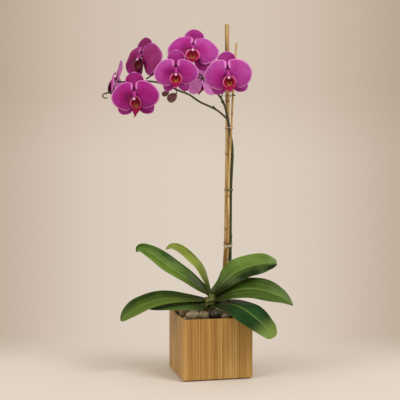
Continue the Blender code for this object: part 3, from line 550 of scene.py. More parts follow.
def leaf_cuticle(name, dark, light, half_shading, tip):
    """Fleshy strap leaf with a waxed skin: deep green with lengthwise bands and faint veins, a
    paler midrib groove and edge that are partly its own colour and partly painted highlight, darker
    where it clasps the crown as painted shade, soft broad highlights; the underside is paler and
    duller. The half-shading share makes its far half lighter or darker than its near half as
    painted light and shade, tip lightens its end as a painted highlight, and the mark rise darkens
    it with painted shade where its ripple stands up."""
    material, tree = new_material(name, Roughness=0.36, Coat_Weight=0.03, Coat_Roughness=0.14,
                                  Specular_IOR_Level=0.14)
    along, across, back, rise = (mark(tree, m) for m in ("along", "across", "back", "rise"))
    cloud = noise(tree, object_place(tree), 30.0, 3.0)
    bands = []
    for wide, long in ((2.2, 1.1), (14.0, 1.6)):
        drawn = add(tree, "CombineXYZ", {0: times(tree, across, wide), 1: times(tree, along, long),
                                         2: times(tree, cloud, 0.4)})
        bands.append(noise(tree, drawn, 1.0))
    side = calculate(tree, "ABSOLUTE", across)
    tip_highlight = smooth_step(tree, along, 0.72, 0.98)
    tone = times(tree, bands[1], 0.35, times(tree, bands[0], 0.80, times(tree, cloud, 0.50, -0.28)))
    # Painted light and shade: one half lighter than the other, and darker where the ripple stands up.
    tone = times(tree, rise, -0.9, times(tree, across, half_shading, tone))
    green = ramp(tree, tone, [(0.32, dark), (0.80, light)])
    # Painted highlight: the end of the blade is lightened towards its tip.
    green = mixed(tree, times(tree, tip_highlight, tip), green, linear("#86A04C"))
    # The paler midrib and edge: partly the leaf's own colour, partly painted highlight.
    rib = ramp(tree, side, [(0.0, "#FFFFFF"), (0.05, "#909090"), (0.14, "#000000")])
    green = mixed(tree, times(tree, rib, 0.5), green, linear("#86A050"))
    edge = ramp(tree, side, [(0.0, "#000000"), (0.95, "#000000"), (0.99, "#C0C0C0")])
    green = mixed(tree, times(tree, edge, 0.4), green, linear("#8A9C4C"))
    # Painted shade: the blade darkens where it clasps the crown, among the crowded leaf bases.
    foot = smooth_step(tree, along, 0.52, 0.06)
    green = mixed(tree, times(tree, foot, 0.8), green, linear("#222608"))
    green = mixed(tree, times(tree, back, 0.3), green, linear("#5C7034"))
    return finished(material, green, bands[1], 0.12, 0.0008)


def cane_skin(name, low, high, ring):
    """Dried bamboo cane, its own skin left on: straw to brown with long fine streaks, darker at the
    scars by its nodes and, as painted shade of the leaves, towards its foot; a hard, half-gloss surface."""
    material, tree = new_material(name, Roughness=0.42, Specular_IOR_Level=0.35)
    place = object_place(tree)
    streak = stretched_noise(tree, place, 800.0, 10.0)
    cloud = stretched_noise(tree, place, 90.0, 14.0)
    height = coordinate(tree, place, 2)
    # Painted shade: the cane darkens towards its foot, where the leaves shade it.
    lower = smooth_step(tree, height, 0.34, 0.16)
    tone = times(tree, streak, 0.6, times(tree, lower, -0.62, cloud))
    straw = ramp(tree, tone, [(0.60, low), (1.0, high)])
    straw = mixed(tree, mark(tree, "scar"), straw, linear(ring))
    return finished(material, straw, streak, 0.25, 0.0005)


def stem_skin(name, dark, light, blush):
    """Living flower stem: smooth fleshy green, mottled, blushed with purple towards the flowers;
    a half-gloss skin. The mark blush says how purple it is."""
    material, tree = new_material(name, Roughness=0.42, Coat_Weight=0.1)
    place = object_place(tree)
    mottle = noise(tree, place, 260.0, 3.0)
    green = ramp(tree, mottle, [(0.3, dark), (0.7, light)])
    green = mixed(tree, mark(tree, "blush"), green, linear(blush))
    return finished(material, green, mottle, 0.1, 0.0004)


def tie_cover(name, dark, light):
    """Paper and plastic covered tie wire: dull, a little creased."""
    material, tree = new_material(name, Roughness=0.6)
    place = object_place(tree)
    crease = noise(tree, place, 700.0)
    colour = ramp(tree, crease, [(0.35, dark), (0.65, light)])
    return finished(material, colour, crease, 0.3, 0.0004)


def bud_skin():
    """Closed bud: the outsides of its sepals, dull maroon with greenish ribs and a satin skin."""
    material, tree = new_material("bud_sepal_skin", Roughness=0.5, Sheen_Weight=0.2)
    place = object_place(tree)
    mottle = noise(tree, place, 320.0, 3.0)
    rib = calculate(tree, "SINE", times(tree, mark(tree, "across"), 18 * math.pi))
    tone = times(tree, rib, 0.12, mottle)
    colour = ramp(tree, tone, [(0.3, "#4E2028"), (0.55, "#74383E"), (0.8, "#8A6A54")])
    return finished(material, colour)


def petal_tissue(name, deep, middle, light, edging):
    """Petal and sepal tissue: thin, soft, of tiny domed cells that give satin and not gloss. Deep
    colour near the middle of the flower, fine veins that fan out, a bluer band inside a fine pale
    rim that is partly its own colour and partly a painted highlight, and a cooler, paler lilac
    behind. The mark along runs from its foot to its margin, across pales it near its foot as
    painted light, rim is 1 at its margin, back is 1 on its rear and fade pales it all over, partly
    its own paleness and partly painted light. edging is the strength of the pale rim."""
    material, tree = new_material(name, Roughness=0.62, Sheen_Weight=0.12, Sheen_Roughness=0.4,
                                  Specular_IOR_Level=0.18, Sheen_Tint=linear("#D8A0F0"))
    along, across, rim, back, fade = (mark(tree, m) for m in ("along", "across", "rim", "back", "fade"))
    fan = add(tree, "CombineXYZ", {0: times(tree, across, 30.0), 1: times(tree, along, 2.0)})
    veins = noise(tree, fan, 1.0, 3.0)
    cloud = noise(tree, object_place(tree), 40.0)
    # fade pales the whole piece: partly its own paleness, partly painted light.
    tone = times(tree, cloud, 0.74, times(tree, fade, 0.26, -0.22))
    tone = times(tree, veins, 0.20, times(tree, along, 0.50, tone))
    # Painted light and shade near the foot: across pales or darkens the petal there.
    near = times(tree, along, -1.0, 1.0)
    tone = times(tree, times(tree, across, near), 0.75, tone)
    colour = ramp(tree, tone, [(0.32, deep), (0.58, middle), (1.0, light)])
    band = ramp(tree, rim, [(0.0, "#000000"), (0.66, "#000000"), (0.90, "#FFFFFF")])
    band = calculate(tree, "MULTIPLY", band, times(tree, cloud, 1.6, -0.5), use_clamp=True)
    colour = mixed(tree, times(tree, band, 0.6), colour, linear("#843496"))
    # The fine pale rim: partly the petal's own colour, partly a painted highlight.
    pale = ramp(tree, rim, [(0.0, "#000000"), (0.92, "#000000"), (0.97, "#FFFFFF")])
    colour = mixed(tree, times(tree, pale, edging), colour, linear("#EC98D8"))
    colour = mixed(tree, times(tree, back, 0.75), colour, linear("#F098E6"))
    return finished(material, colour, veins, 0.16, 0.0006)


def lip_tissue():
    """The lip's cup and side lobes: waxier than the petals. Dark crimson deep down, redder up the
    wall and rosy at the rim; dark magenta outside."""
    material, tree = new_material("lip_tissue", Roughness=0.5, Specular_IOR_Level=0.10)
    along, back = mark(tree, "along"), mark(tree, "back")
    cloud = noise(tree, object_place(tree), 300.0)
    tone = times(tree, cloud, 0.24, times(tree, along, 1.0, -0.12))
    inside = ramp(tree, tone, [(0.05, "#760A1E"), (0.34, "#94183C"), (0.62, "#AA244C"),
                               (0.82, "#B41448"), (1.0, "#C8305C")])
    outside = ramp(tree, along, [(0.0, "#3A0818"), (0.8, "#6A0C34"), (1.0, "#C8588C")])
    colour = mixed(tree, back, inside, outside)
    rim = smooth_step(tree, along, 0.80, 0.96)
    rim = times(tree, rim, mark(tree, "high"))
    colour = mixed(tree, times(tree, rim, 0.9), colour, linear("#EC8CC0"))
    colour = mixed(tree, mark(tree, "shade"), colour, linear("#2C0610"))
    return finished(material, colour)


def mid_lobe_tissue():
    """The lip's middle lobe: crimson with a darker foot, waxy, with magenta over it that is
    strongest down its middle."""
    material, tree = new_material("mid_lobe_tissue", Roughness=0.5, Specular_IOR_Level=0.10)
    cloud = noise(tree, object_place(tree), 300.0)
    tone = times(tree, cloud, 0.2, mark(tree, "along"))
    colour = ramp(tree, tone, [(0.10, "#6A0414"), (0.26, "#8C1414"), (0.40, "#8A0428"),
                               (0.75, "#940436"), (1.0, "#8A0834")])
    middle = times(tree, mark(tree, "across"), -1.8, 1.0)
    middle = calculate(tree, "MAXIMUM", middle, 0.5)
    colour = mixed(tree, times(tree, middle, 0.7), colour, linear("#A4045C"))
    colour = mixed(tree, mark(tree, "shade"), colour, linear("#2C0610"))
    return finished(material, colour)


def callus_tissue():
    """The callus in the throat: golden yellow with red-brown flecks about a mm across, and two rosy
    teeth."""
    material, tree = new_material("callus_tissue", Roughness=0.45, Specular_IOR_Level=0.2)
    fleck = noise(tree, object_place(tree), 700.0)
    colour = ramp(tree, fleck, [(0.42, "#8A2010"), (0.50, "#C4842C"), (1.0, "#E0B44C")])
    colour = mixed(tree, mark(tree, "tooth"), colour, linear("#D86C84"))
    colour = mixed(tree, mark(tree, "shade"), colour, linear("#3A100C"))
    return finished(material, colour)


def column_tissue():
    """The column: smooth deep magenta, waxy, with a white-pink cap at its tip."""
    material, tree = new_material("column_tissue", Roughness=0.5, Specular_IOR_Level=0.2)
    colour = ramp(tree, mark(tree, "cap"), [(0.0, "#B43490"), (0.7, "#AC2C8A"), (1.0, "#FFD4EE")])
    colour = mixed(tree, times(tree, mark(tree, "shade"), 0.5), colour, linear("#702050"))
    return finished(material, colour)


# ---------------------------------------------------------------- planter

def finish_planter():
    """The CAD boards, liner and mix keep their meshes and take their materials."""
    facing = laminated_bamboo("laminated_bamboo_front", 0)
    flank = laminated_bamboo("laminated_bamboo_side", 1)
    for side in ("front", "back", "base"):
        refinish(f"pot_{side}_board", facing)
    for side in ("left", "right"):
        refinish(f"pot_{side}_board", flank)
    refinish("pot_liner", liner_plastic())
    refinish("potting_mix", bark_mix())


def pebble(at, half, turn, tilt, tone, phases, rings=12, sides=20):
    """A river pebble: a sphere swollen and dented by three slow waves, scaled to its three
    half-sizes, then tilted and turned into place."""
    polar = np.linspace(0, np.pi, rings + 2)[1:-1, None]
    around = full_turn(sides)[None, :]
    ball = np.stack([np.cos(polar) * np.ones_like(around), np.sin(polar) * np.cos(around),
                     np.sin(polar) * np.sin(around)], axis=-1)
    poles = np.array([(1.0, 0, 0), (-1.0, 0, 0)])

    def worn(p):
        swell = (0.06 * np.sin(2.1 * p[..., 0] + phases[0]) + 0.05 * np.sin(2.6 * p[..., 1] + phases[1])
                 + 0.05 * np.sin(2.9 * p[..., 2] + 2 * p[..., 0] + phases[2]))
        shaped = p * (1 + swell)[..., None] * np.asarray(half)
        return turned(turned(shaped, tilt, 1), turn, 2) + np.asarray(at)

    return marked(capped(worn(ball), worn(poles[:1]), worn(poles[1:])), tone=tone)


def bed_height(x, y):
    """Height of the heap's surface: low at the walls, higher towards the plant."""
    return BED_TOP - BED_FALL * (x ** 2 + y ** 2) / BED_REACH ** 2


def scattered(count, spread, near, rng):
    """Points in a square, pushed apart until they lie about evenly; near is the wanted spacing."""
    points = rng.uniform(-spread, spread, (count, 2))
    for _ in range(60):
        apart = points[:, None, :] - points[None, :, :]
        distance = np.linalg.norm(apart, axis=2) + np.eye(count)
        push = np.clip(near - distance, 0, None) * (1 - np.eye(count))
        points = points + 0.25 * (apart / distance[..., None] * push[..., None]).sum(axis=1)
        points = np.clip(points, -spread, spread)
    return points


def make_pebbles():
    """The heap of river pebbles in three layers, and the five that show in front."""
    rng = np.random.default_rng(11)
    stone = river_stone("tumbled_river_stone", "#3A3222", "#B8A880")
    crown_reach = 0.013
    front = [(p["at"][0], p["at"][1], max(p["half"][:2])) for p in PEBBLES.values()]
    bodies = []
    for count, depth, size in ((42, 0.024, 0.0115), (52, 0.0130, 0.0100), (62, 0.0035, 0.0090)):
        for x, y in scattered(count, POT_HALF - WALL - 0.0095, size * 1.75, rng):
            half = size * rng.uniform((0.85, 0.65, 0.55), (1.25, 0.95, 0.80))
            if depth < 0.01 and any(math.hypot(x - a, y - b) < r + 0.0050 for a, b, r in front):
                continue
            if math.hypot(x, y) < crown_reach:
                continue
            z = bed_height(x, y) - depth - half[2] * 0.4
            bodies.append(pebble((x, y, z), half, rng.uniform(0, 180), rng.uniform(-18, 18),
                                 rng.uniform(0.05, 0.95), rng.uniform(0, 6, 3)))
    add_piece("pebble_heap", bodies, stone, ["pebble_bed"])
    for name, values in PEBBLES.items():
        values = dict(values)
        colour = values.pop("colour")
        skin = river_stone(f"{name}_stone", shaded(colour, 0.75), shaded(colour, 1.12))
        body = pebble(**values, tone=0.5, phases=rng.uniform(0, 6, 3), rings=22, sides=36)
        add_piece(f"{name}_worn", [body], skin, [name])


# ---------------------------------------------------------------- stakes and ties

def cane(line, radius, nodes, sides, hollow):
    """A cane: level rings along its line, swollen at each node with a groove just under it, and a
    pith hole sunk in its cut top."""
    dense = smooth_path(line, np.linspace(0, 1, 400))
    stops = [np.linspace(line[0][2], line[-1][2], 120)]
    stops += [node + np.linspace(-0.007, 0.007, 15) for node in nodes]
    z = np.sort(np.concatenate(stops))
    swell = sum(0.11 * bell(z, node, 0.0030) - 0.07 * bell(z, node - 0.0034, 0.0010) for node in nodes)
    scar = sum(0.65 * bell(z, node - 0.0030, 0.0012) + 0.25 * bell(z, node, 0.004) for node in nodes)
    reach = radius * (1 + swell)
    top = z[-1]
    z = np.concatenate([z, [top, top, top - 0.005]])
    reach = np.concatenate([reach, np.array([0.94, hollow + 0.06, hollow]) * radius])
    scar = np.concatenate([scar, [0.1, 0.5, 1.0]])
    x, y = (np.interp(z, dense[:, 2], dense[:, k]) for k in (0, 1))
    centre = np.stack([x, y, z], axis=1)
    angle = full_turn(sides)
    circle = np.stack([np.cos(angle), np.sin(angle), np.zeros(sides)], axis=1)
    rings = centre[:, None, :] + reach[:, None, None] * circle
    points, faces, marks = capped(rings, centre[0], centre[-1])
    marks["scar"] = np.concatenate([np.repeat(scar, sides), [0, 1]])
    return from_plant(points), faces, marks


def make_stakes():
    """The thick and the thin cane."""
    thick = cane(STAKE_THICK_LINE, STAKE_THICK_RADIUS, STAKE_THICK_NODES, 28, 0.42)
    thin = cane(STAKE_THIN_LINE, STAKE_THIN_RADIUS, STAKE_THIN_NODES, 18, 0.30)
    add_piece("cane_thick", [thick], cane_skin("dried_cane_brown", "#8A642E", "#E0BE80", "#4E3418"),
              ["stake_thick"])
    add_piece("cane_thin", [thin], cane_skin("dried_cane_straw", "#A88448", "#ECD094", "#5E4020"),
              ["stake_thin"])


def bundle_loop(height, members, clearance, angle):
    """Points of the tight loop round round members at a height: at each angle, the outermost
    member's own support point."""
    circles = []
    for line, radius in members:
        dense = smooth_path(line, np.linspace(0, 1, 300))
        nearest = dense[np.argmin(np.abs(dense[:, 2] - height))]
        circles.append((nearest[0], nearest[1], radius))
    data = np.array(circles)
    normal = np.stack([np.cos(angle), np.sin(angle)], axis=1)
    chosen = data[np.argmax(normal @ data[:, :2].T + data[:, 2], axis=1)]
    return chosen[:, :2] + normal * (chosen[:, 2:] + clearance)


def wrapped_tie(height, members, turns, wire, pitch, knot_at, tail):
    """A tie: wire wound round the bundle, its two ends twisted together into a short tail."""
    angle = math.radians(knot_at) + np.linspace(0, 2 * np.pi * turns, int(48 * turns))
    flat = bundle_loop(height, members, wire * 1.2, angle)
    climb = height + pitch * (np.linspace(0, 1, len(angle)) - 0.5) * turns
    coil = tube(np.column_stack([flat, climb]), np.full(len(angle), wire), 8, guide=(0, 0, 1.0))
    out = np.array([math.cos(math.radians(knot_at)), math.sin(math.radians(knot_at)), -0.35])
    root = np.array([*flat[0], height])
    t = np.linspace(0, 1, 40)
    bodies = [coil]
    for side in (0, np.pi):
        twist = side + t * 2 * np.pi * 3
        centre = root + np.outer(t, out) * tail
        around = wire * 0.9 * np.column_stack([0 * t, np.cos(twist), np.sin(twist)])
        bodies.append(tube(centre + around, wire * np.interp(t, [0, 0.92, 1], [1, 1, 0.5]), 8,
                           guide=(0, 0, 1.0)))
    return planted(bodies)


def make_ties():
    """Three ties round the canes and the stem, and one thin green wire round the canes only."""
    canes = [(STAKE_THICK_LINE, STAKE_THICK_RADIUS), (STAKE_THIN_LINE, STAKE_THIN_RADIUS)]
    bundle = canes + [(SPIKE_LINE, STEM_RADIUS)]
    pale = tie_cover("faded_tie_wire", "#A8A080", "#D4CCB0")
    brown = tie_cover("brown_tie_wire", "#5A3C22", "#8A6238")
    olive = tie_cover("olive_tie_wire", "#5C5A34", "#8C8A5A")
    pink = tie_cover("pinkish_tie_wire", "#A88C78", "#D2B8A4")
    green = tie_cover("green_tie_wire", "#2A3A1C", "#46582C")
    # Height, what it goes round, turns, wire radius, climb a turn, knot's direction, tail's length.
    for name, node, cover, *winding in (
            ("low", "low", pale, 0.2560, bundle, 1.6, 0.0011, 0.0024, 235, 0.008),
            ("low_brown", "low", brown, 0.2610, bundle, 1.1, 0.0009, 0.0020, 250, 0.005),
            ("middle", "middle", olive, 0.3712, bundle, 1.6, 0.0010, 0.0020, 215, 0.006),
            ("high", "high", pink, 0.4985, bundle, 1.6, 0.0009, 0.0020, 250, 0.006),
            ("canes", "canes", green, 0.5650, canes, 1.2, 0.0007, 0.0016, 300, 0.006)):
        add_piece(f"tie_wire_{name}", wrapped_tie(*winding), cover, [f"tie_{node}"])


# ---------------------------------------------------------------- leaves and crown

def leaf_half_width(u, greatest, tip, foot, widest):
    """Half-width along a leaf: a narrow foot, a share of its length to the widest place, a rounded
    tip."""
    rising = foot + (1 - foot) * np.sin(np.pi / 2 * np.clip(u / widest, 0, 1)) ** 1.3
    falling = np.clip(1 - (np.clip(u - widest, 0, 1) / (1 - widest)) ** 2, 0.0006, 1) ** (1 / tip)
    return greatest * np.where(u < widest, rising, falling)


def leaf(line, half_width, tilt, keel, tip, ripple, phase, foot=0.44, widest=0.6):
    """A strap leaf: a ribbon across its line, tilted, folded along the midrib (hard at its foot,
    where it clasps the crown), rippled at its edges, thick in the middle and thin at the rim. Its
    width waves a little too, and the mark rise follows the ripple."""
    u = 1 - (1 - np.linspace(0, 1, 72)) ** 1.7
    v = np.sin(np.linspace(-np.pi / 2, np.pi / 2, 25))
    centre = smooth_path(line, u)
    tangent = unit(np.gradient(centre, u, axis=0))
    across = unit(np.cross(tangent, [0.0, 0.0, 1.0]))
    across = across * np.where(across[:, 1:2] < 0, -1, 1)
    upward = np.cross(across, tangent)
    upward = upward * np.where(upward[:, 2:3] < 0, -1, 1)
    lean = np.radians(np.interp(u, [0, 1], tilt))[:, None]
    side = across * np.cos(lean) + upward * np.sin(lean)
    face = upward * np.cos(lean) - across * np.sin(lean)
    fold = np.radians(keel + (52 - keel) * bell(u, 0, 0.10))[:, None]
    width = leaf_half_width(u, half_width, tip, foot, widest)[:, None]
    out = width * v * np.cos(fold)
    raised = width * (np.sqrt(v ** 2 + 0.03) - 0.17) * np.sin(fold)
    swing = v ** 2 * np.sin(2 * np.pi * 2.3 * u[:, None] + phase + 1.2 * np.sign(v))
    wave = ripple * swing * (width / half_width)
    out = out * (1 + 10 * ripple * np.sin(2 * np.pi * 1.9 * u[:, None] + phase))
    groove = -0.0007 * bell(v, 0, 0.07) * (width / half_width)
    surface = (centre[:, None, :] + out[..., None] * side[:, None, :]
               + (raised + wave + groove)[..., None] * face[:, None, :])
    thick = (0.0004 + 0.0018 * np.sqrt(1 - v ** 2)) * np.interp(u, [0, 0.97, 1], [1, 1, 0.4])[:, None]
    body = gridded(plate(surface, thick), along=u[:, None] + 0 * v, across=v[None, :] + 0 * u[:, None],
                   rise=60 * ripple * swing)
    return moved(body, from_plant)


def top_first(body):
    """Marks hold 1 on a leaf's underside: swap them where the first grid turned out the lower."""
    points, faces, marks = body
    half = len(points) // 2
    if points[:half, 2].mean() < points[half:, 2].mean():
        marks["back"] = 1 - marks["back"]
    return points, faces, marks


def make_leaves():
    """The seven leaves."""
    for number, (name, values) in enumerate(LEAVES.items()):
        values = dict(values)
        greens, half_shading, last = (values.pop(key) for key in ("greens", "half_shading", "last"))
        blade = top_first(leaf(**values, phase=1.7 * number))
        skin = leaf_cuticle(f"{name}_cuticle", *greens, half_shading, last)
        add_piece(f"{name}_blade", [blade], skin, [name], 40)


def sheath(facing, radius, foot, top, spread):
    """A clasping leaf base: part of a cone round the crown, open at its back, tallest in front."""
    turn = np.linspace(-spread, spread, 25)[None, :]
    height = np.linspace(0, 1, 14)[:, None]
    rise = top - 0.012 * np.abs(turn / spread) ** 1.6
    z = foot + (rise - foot) * height
    reach = radius * (1.12 - 0.20 * height ** 1.5) * np.ones_like(turn)
    angle = np.radians(facing + turn)
    surface = np.stack([reach * np.cos(angle), reach * np.sin(angle), z * np.ones_like(turn)], axis=-1)
    return plate(surface, 0.0011)


def make_crown():
    """The crown's core with the clasping leaf bases round it, older ones outside and browner."""
    z = np.array([MIX_TOP, 0.100, 0.120, 0.132, 0.142, 0.150, 0.156, 0.160])
    core = tube(np.column_stack([0 * z + 0.001, 0 * z, z]),
                np.array([0.80, 0.90, 0.92, 0.86, 0.80, 0.66, 0.46, 0.12]) * 0.0090, 24)
    bodies = [marked(core, blush=0.2)]
    for facing, radius, top, blush in ((172, 0.0090, 0.1540, 0.0), (-50, 0.0104, 0.1585, 0.0),
                                       (190, 0.0112, 0.1460, 0.3), (-28, 0.0122, 0.1400, 0.4)):
        bodies.append(marked(sheath(facing, radius, 0.108, top, 112), blush=blush))
    clasping = moved(sheath(-82, 0.0090, 0.132, 0.1600, 96), lambda p: p + np.array([0.0050, -0.0030, 0]))
    bodies.append(marked(clasping, blush=0.0))
    skin = stem_skin("leaf_base_skin", "#484A14", "#787E34", "#4A3A20")
    add_piece("crown_leaf_bases", planted(bodies), skin, ["crown"])
    old = [sheath(200, 0.0130, 0.108, 0.1340, 95), sheath(-60, 0.0134, 0.106, 0.1340, 80)]
    husk = stem_skin("withered_leaf_base", "#3A2A18", "#7A6838", "#B4A060")
    add_piece("crown_old_leaf_bases", planted(old), husk, ["crown"])


# ---------------------------------------------------------------- flower spike and buds

def flower_turn(points, turn, nod, roll):
    """Turn a flower: roll about its own face, then nod, then turn about the vertical."""
    return turned(turned(turned(points, -roll, 1), nod, 0), -turn, 2)


def stalk_line(name):
    """A flower stalk: from its branch it leaves sideways and meets the flower's back square on."""
    flower = FLOWERS[name]
    pose = flower["turn"], flower["nod"], flower["roll"]
    back = np.array(flower["at"]) + flower_turn(np.array([0, 0.0034 * flower["scale"], 0]), *pose)
    behind = back + flower_turn(np.array([0, 0.011, 0]), *pose)
    foot = np.array(STALKS[name])
    middle = 0.5 * foot + 0.5 * behind + np.array([0, 0.003, 0.002])
    return [foot, middle, behind, back]


def stem_run(line, count, radii, blushes, sides=12, knots=()):
    """A stretch of stem: radii and blushes go evenly from its foot to its end, and it swells a
    little at each knot, given as a share of its length."""
    t = np.linspace(0, 1, count)
    reach = np.interp(t, np.linspace(0, 1, len(radii)), radii)
    reach = reach * (1 + sum(0.16 * bell(t, knot, 0.008) for knot in knots))
    points, faces, marks = tube(smooth_path(line, t), reach, sides)
    blush = np.interp(marks["along"], np.linspace(0, 1, len(blushes)), blushes)
    return points, faces, marks | {"blush": blush}


def bract(line, share, length, side):
    """A small scale at a joint of the stem: a pointed cup that clasps it and stands a little off."""
    here, ahead = smooth_path(line, [share, min(share + 0.02, 1)])
    axis = unit(ahead - here)
    out = unit(np.cross(axis, [0, 1.0, 0])) * side
    away = np.cross(axis, out)
    t = np.linspace(0, 1, 14)[:, None]
    q = np.linspace(-1, 1, 11)[None, :]
    swing = np.radians(105) * q * (1 - t ** 1.5)
    reach = 0.0030 + 0.0014 * t
    surface = (here + (length * t)[..., None] * axis
               + (reach * np.cos(swing))[..., None] * out + (reach * np.sin(swing))[..., None] * away)
    return marked(plate(surface, 0.0005), blush=0.25)


def make_spike():
    """The flower spike: stem, two branches, flower stalks, bud stalks and the scales at joints."""
    bodies = [stem_run(SPIKE_LINE, 150, (0.0033, 0.0033, STEM_RADIUS), (0.0, 0.05, 0.3), 16,
                       (0.36, 0.62, 0.80)),
              stem_run(UPPER_BRANCH, 90, (0.0024, 0.0020, 0.0015), (0.3, 0.4, 0.3), 12,
                       (0.16, 0.38, 0.62, 0.85)),
              stem_run(LOWER_BRANCH, 110, (0.0021, 0.0020, 0.0012), (0.3, 0.2, 0.1), 12,
                       (0.13, 0.45, 0.60, 0.82))]
    for name in STALKS:
        bodies.append(stem_run(stalk_line(name), 24, (0.0012, 0.0013, 0.0014, 0.0024), (0.25, 0.5, 0.85)))
    for bud in BUDS.values():
        away = np.array(bud["at"]) - unit(np.array(bud["lean"])) * (bud["size"][0] - 0.001)
        bodies.append(stem_run([bud["foot"], away], 10, (0.0010, 0.0010, 0.0016), (0.3, 0.5), 10))
    for line, share, length, side in ((SPIKE_LINE, 0.36, 0.011, -1), (SPIKE_LINE, 0.62, 0.011, 1),
                                      (SPIKE_LINE, 0.80, 0.010, 1), (UPPER_BRANCH, 0.15, 0.007, 1),
                                      (LOWER_BRANCH, 0.12, 0.007, -1), (LOWER_BRANCH, 0.45, 0.005, 1)):
        bodies.append(bract(line, share, length, side))
    skin = stem_skin("spike_skin", "#1E300C", "#3E5220", "#4E3038")
    add_piece("flower_spike_stem", planted(bodies), skin, ["flower_spike"])


def bud(at, size, lean):
    """A closed bud: an egg along its axis with three shallow grooves where its sepals meet, drawn
    to a blunt point."""
    length, width = size
    t = np.linspace(-1, 1, 34)[1:-1]
    line = np.array(at) + unit(np.array(lean)) * (np.array([-1, *t, 1]) * length)[:, None]
    egg = np.sqrt(1 - t ** 2) * (1 + 0.18 * t)
    egg = np.concatenate([[0.12], egg, [0.10]]) / egg.max()
    angle = full_turn(36)
    grooves = 1 - 0.07 * bell(np.sin(1.5 * angle), 0, 0.22)
    return moved(tube(line, width * egg[:, None] * grooves, 36), from_plant)


def make_buds():
    """The two hanging buds."""
    skin = bud_skin()
    for name, values in BUDS.items():
        body = bud(values["at"], values["size"], values["lean"])
        add_piece(f"{name}_closed", [body], skin, [name])


# ---------------------------------------------------------------- flowers

# Petal outline from the front: angle (degrees above the horizontal) and reach from its foot.
PETAL_OUTLINE = [(-76, 0.0252), (-70, 0.0301), (-63, 0.0334), (-55, 0.0350), (-47, 0.0365), (-30, 0.0406),
                 (-12, 0.0423), (0, 0.0418), (11, 0.0399), (30, 0.0365), (47, 0.0336), (65, 0.0305),
                 (79, 0.0282), (91, 0.0262), (98, 0.0240), (103, 0.0198)]
DORSAL = (90, 0.0440, 1.06)     # direction, length and breadth of the sepal at the top
LATERAL = 0.0490                # length of the two lower sepals


def dish(x, z):
    """How far a flower's face curves back from its middle plane at a point of it."""
    return 0.0035 * ((x / 0.046) ** 2 + (z / 0.046) ** 2)


def petal(side, swing, above, below, phases):
    """A broad petal: rays from its foot, each as long as the outline says; it narrows to a claw at
    the column, swells forward between foot and rim, dips along its middle vein, and its margin
    waves and rolls back. Near its foot, painted light and shade take the left petal from dark below
    to pale above and make the right one pale all over."""
    lowest, highest = PETAL_OUTLINE[0][0], PETAL_OUTLINE[-1][0]
    turn = np.linspace(lowest, highest, 58)
    angle = np.radians(turn + swing)[None, :]
    longer = 1 + np.interp(turn, [-65, -20, 0, 60], [below, 0, 0, above])
    reach = (eased(turn, PETAL_OUTLINE) * longer)[None, :] * (1 + 0.012 * np.sin(5 * angle + phases[0]))
    share = (1 - (1 - np.linspace(0, 1, 26)) ** 1.4)[:, None] * 0.985 + 0.015
    x = 0.0012 + 0.0045 * np.clip(share / 0.3, 0, 1) ** 0.7 + share * reach * np.cos(angle)
    x = np.maximum(x, 0.0008)
    z = share * reach * np.sin(angle)
    y = dish(x, z) - 0.0010 - 0.0030 * np.sin(np.pi * share)
    y = y + 0.0011 * share ** 3 * np.sin(3.1 * angle + phases[1]) + 0.0018 * share ** 6
    y = y + 0.0013 * share ** 2 * bell(turn[None, :], 12, 16)
    y = y + 0.0005 * share ** 3 * np.sin(9 * angle + phases[2])
    thick = 0.0009 - 0.0006 * share ** 2 + 0 * angle
    fan = (turn[None, :] - (highest + lowest) / 2) / ((highest - lowest) / 2)
    # The rim mark also runs up the upper inner edge, where the pale rim is a painted highlight.
    margin = np.maximum(share, np.clip(share / 0.45, 0, 1) ** 2 * np.clip(1.06 * fan, 0, 1) ** 0.5)
    body = plate(np.stack([side * x, y, z], axis=-1), thick)
    # Painted light and shade near the foot: the left petal dark below and pale above, the right one pale.
    paler = 0.6 * fan if side < 0 else 0.24 * fan + 0.40
    return gridded(body, along=share + 0 * fan, across=paler + 0 * share, rim=margin)


def sepal(direction, length, breadth, phases):
    """A sepal: a blunt spear head along its direction, creased along the middle, edges bent back."""
    s = (1 - (1 - np.linspace(0, 1, 28)) ** 1.5)[:, None] * 0.97 + 0.03
    v = np.sin(np.linspace(-np.pi / 2, np.pi / 2, 19))[None, :]
    half = 0.40 * np.sin(np.pi * np.clip(s, 0, 0.9995) ** 1.5) ** 0.65 * breadth * length
    half = half + 0.0026 * (1 - s) ** 3
    a = math.radians(direction)
    x = length * s * math.cos(a) - v * half * math.sin(a)
    z = length * s * math.sin(a) + v * half * math.cos(a)
    y = dish(x, z) + 0.0030 + 0.0022 * v ** 2 * np.sin(np.pi * s) - 0.0006 * bell(v, 0, 0.12)
    y = y - 0.0024 * bell(v, 0, 0.4) * bell(s, 0.35, 0.3) * (direction == 90)
    y = y + 0.0012 * s ** 2 * np.sin(4 * s + phases[0]) + 0.0006 * v * np.sin(5 * s + phases[1])
    thick = (0.0004 + 0.0006 * (1 - v ** 2)) * (1 - 0.5 * s ** 4)
    body = plate(np.stack([x, y, z], axis=-1), thick)
    margin = np.maximum(s ** 1.6, np.abs(v) ** 0.8)
    return gridded(body, along=s + 0 * v, across=0.4 * v + 0 * s, rim=margin)


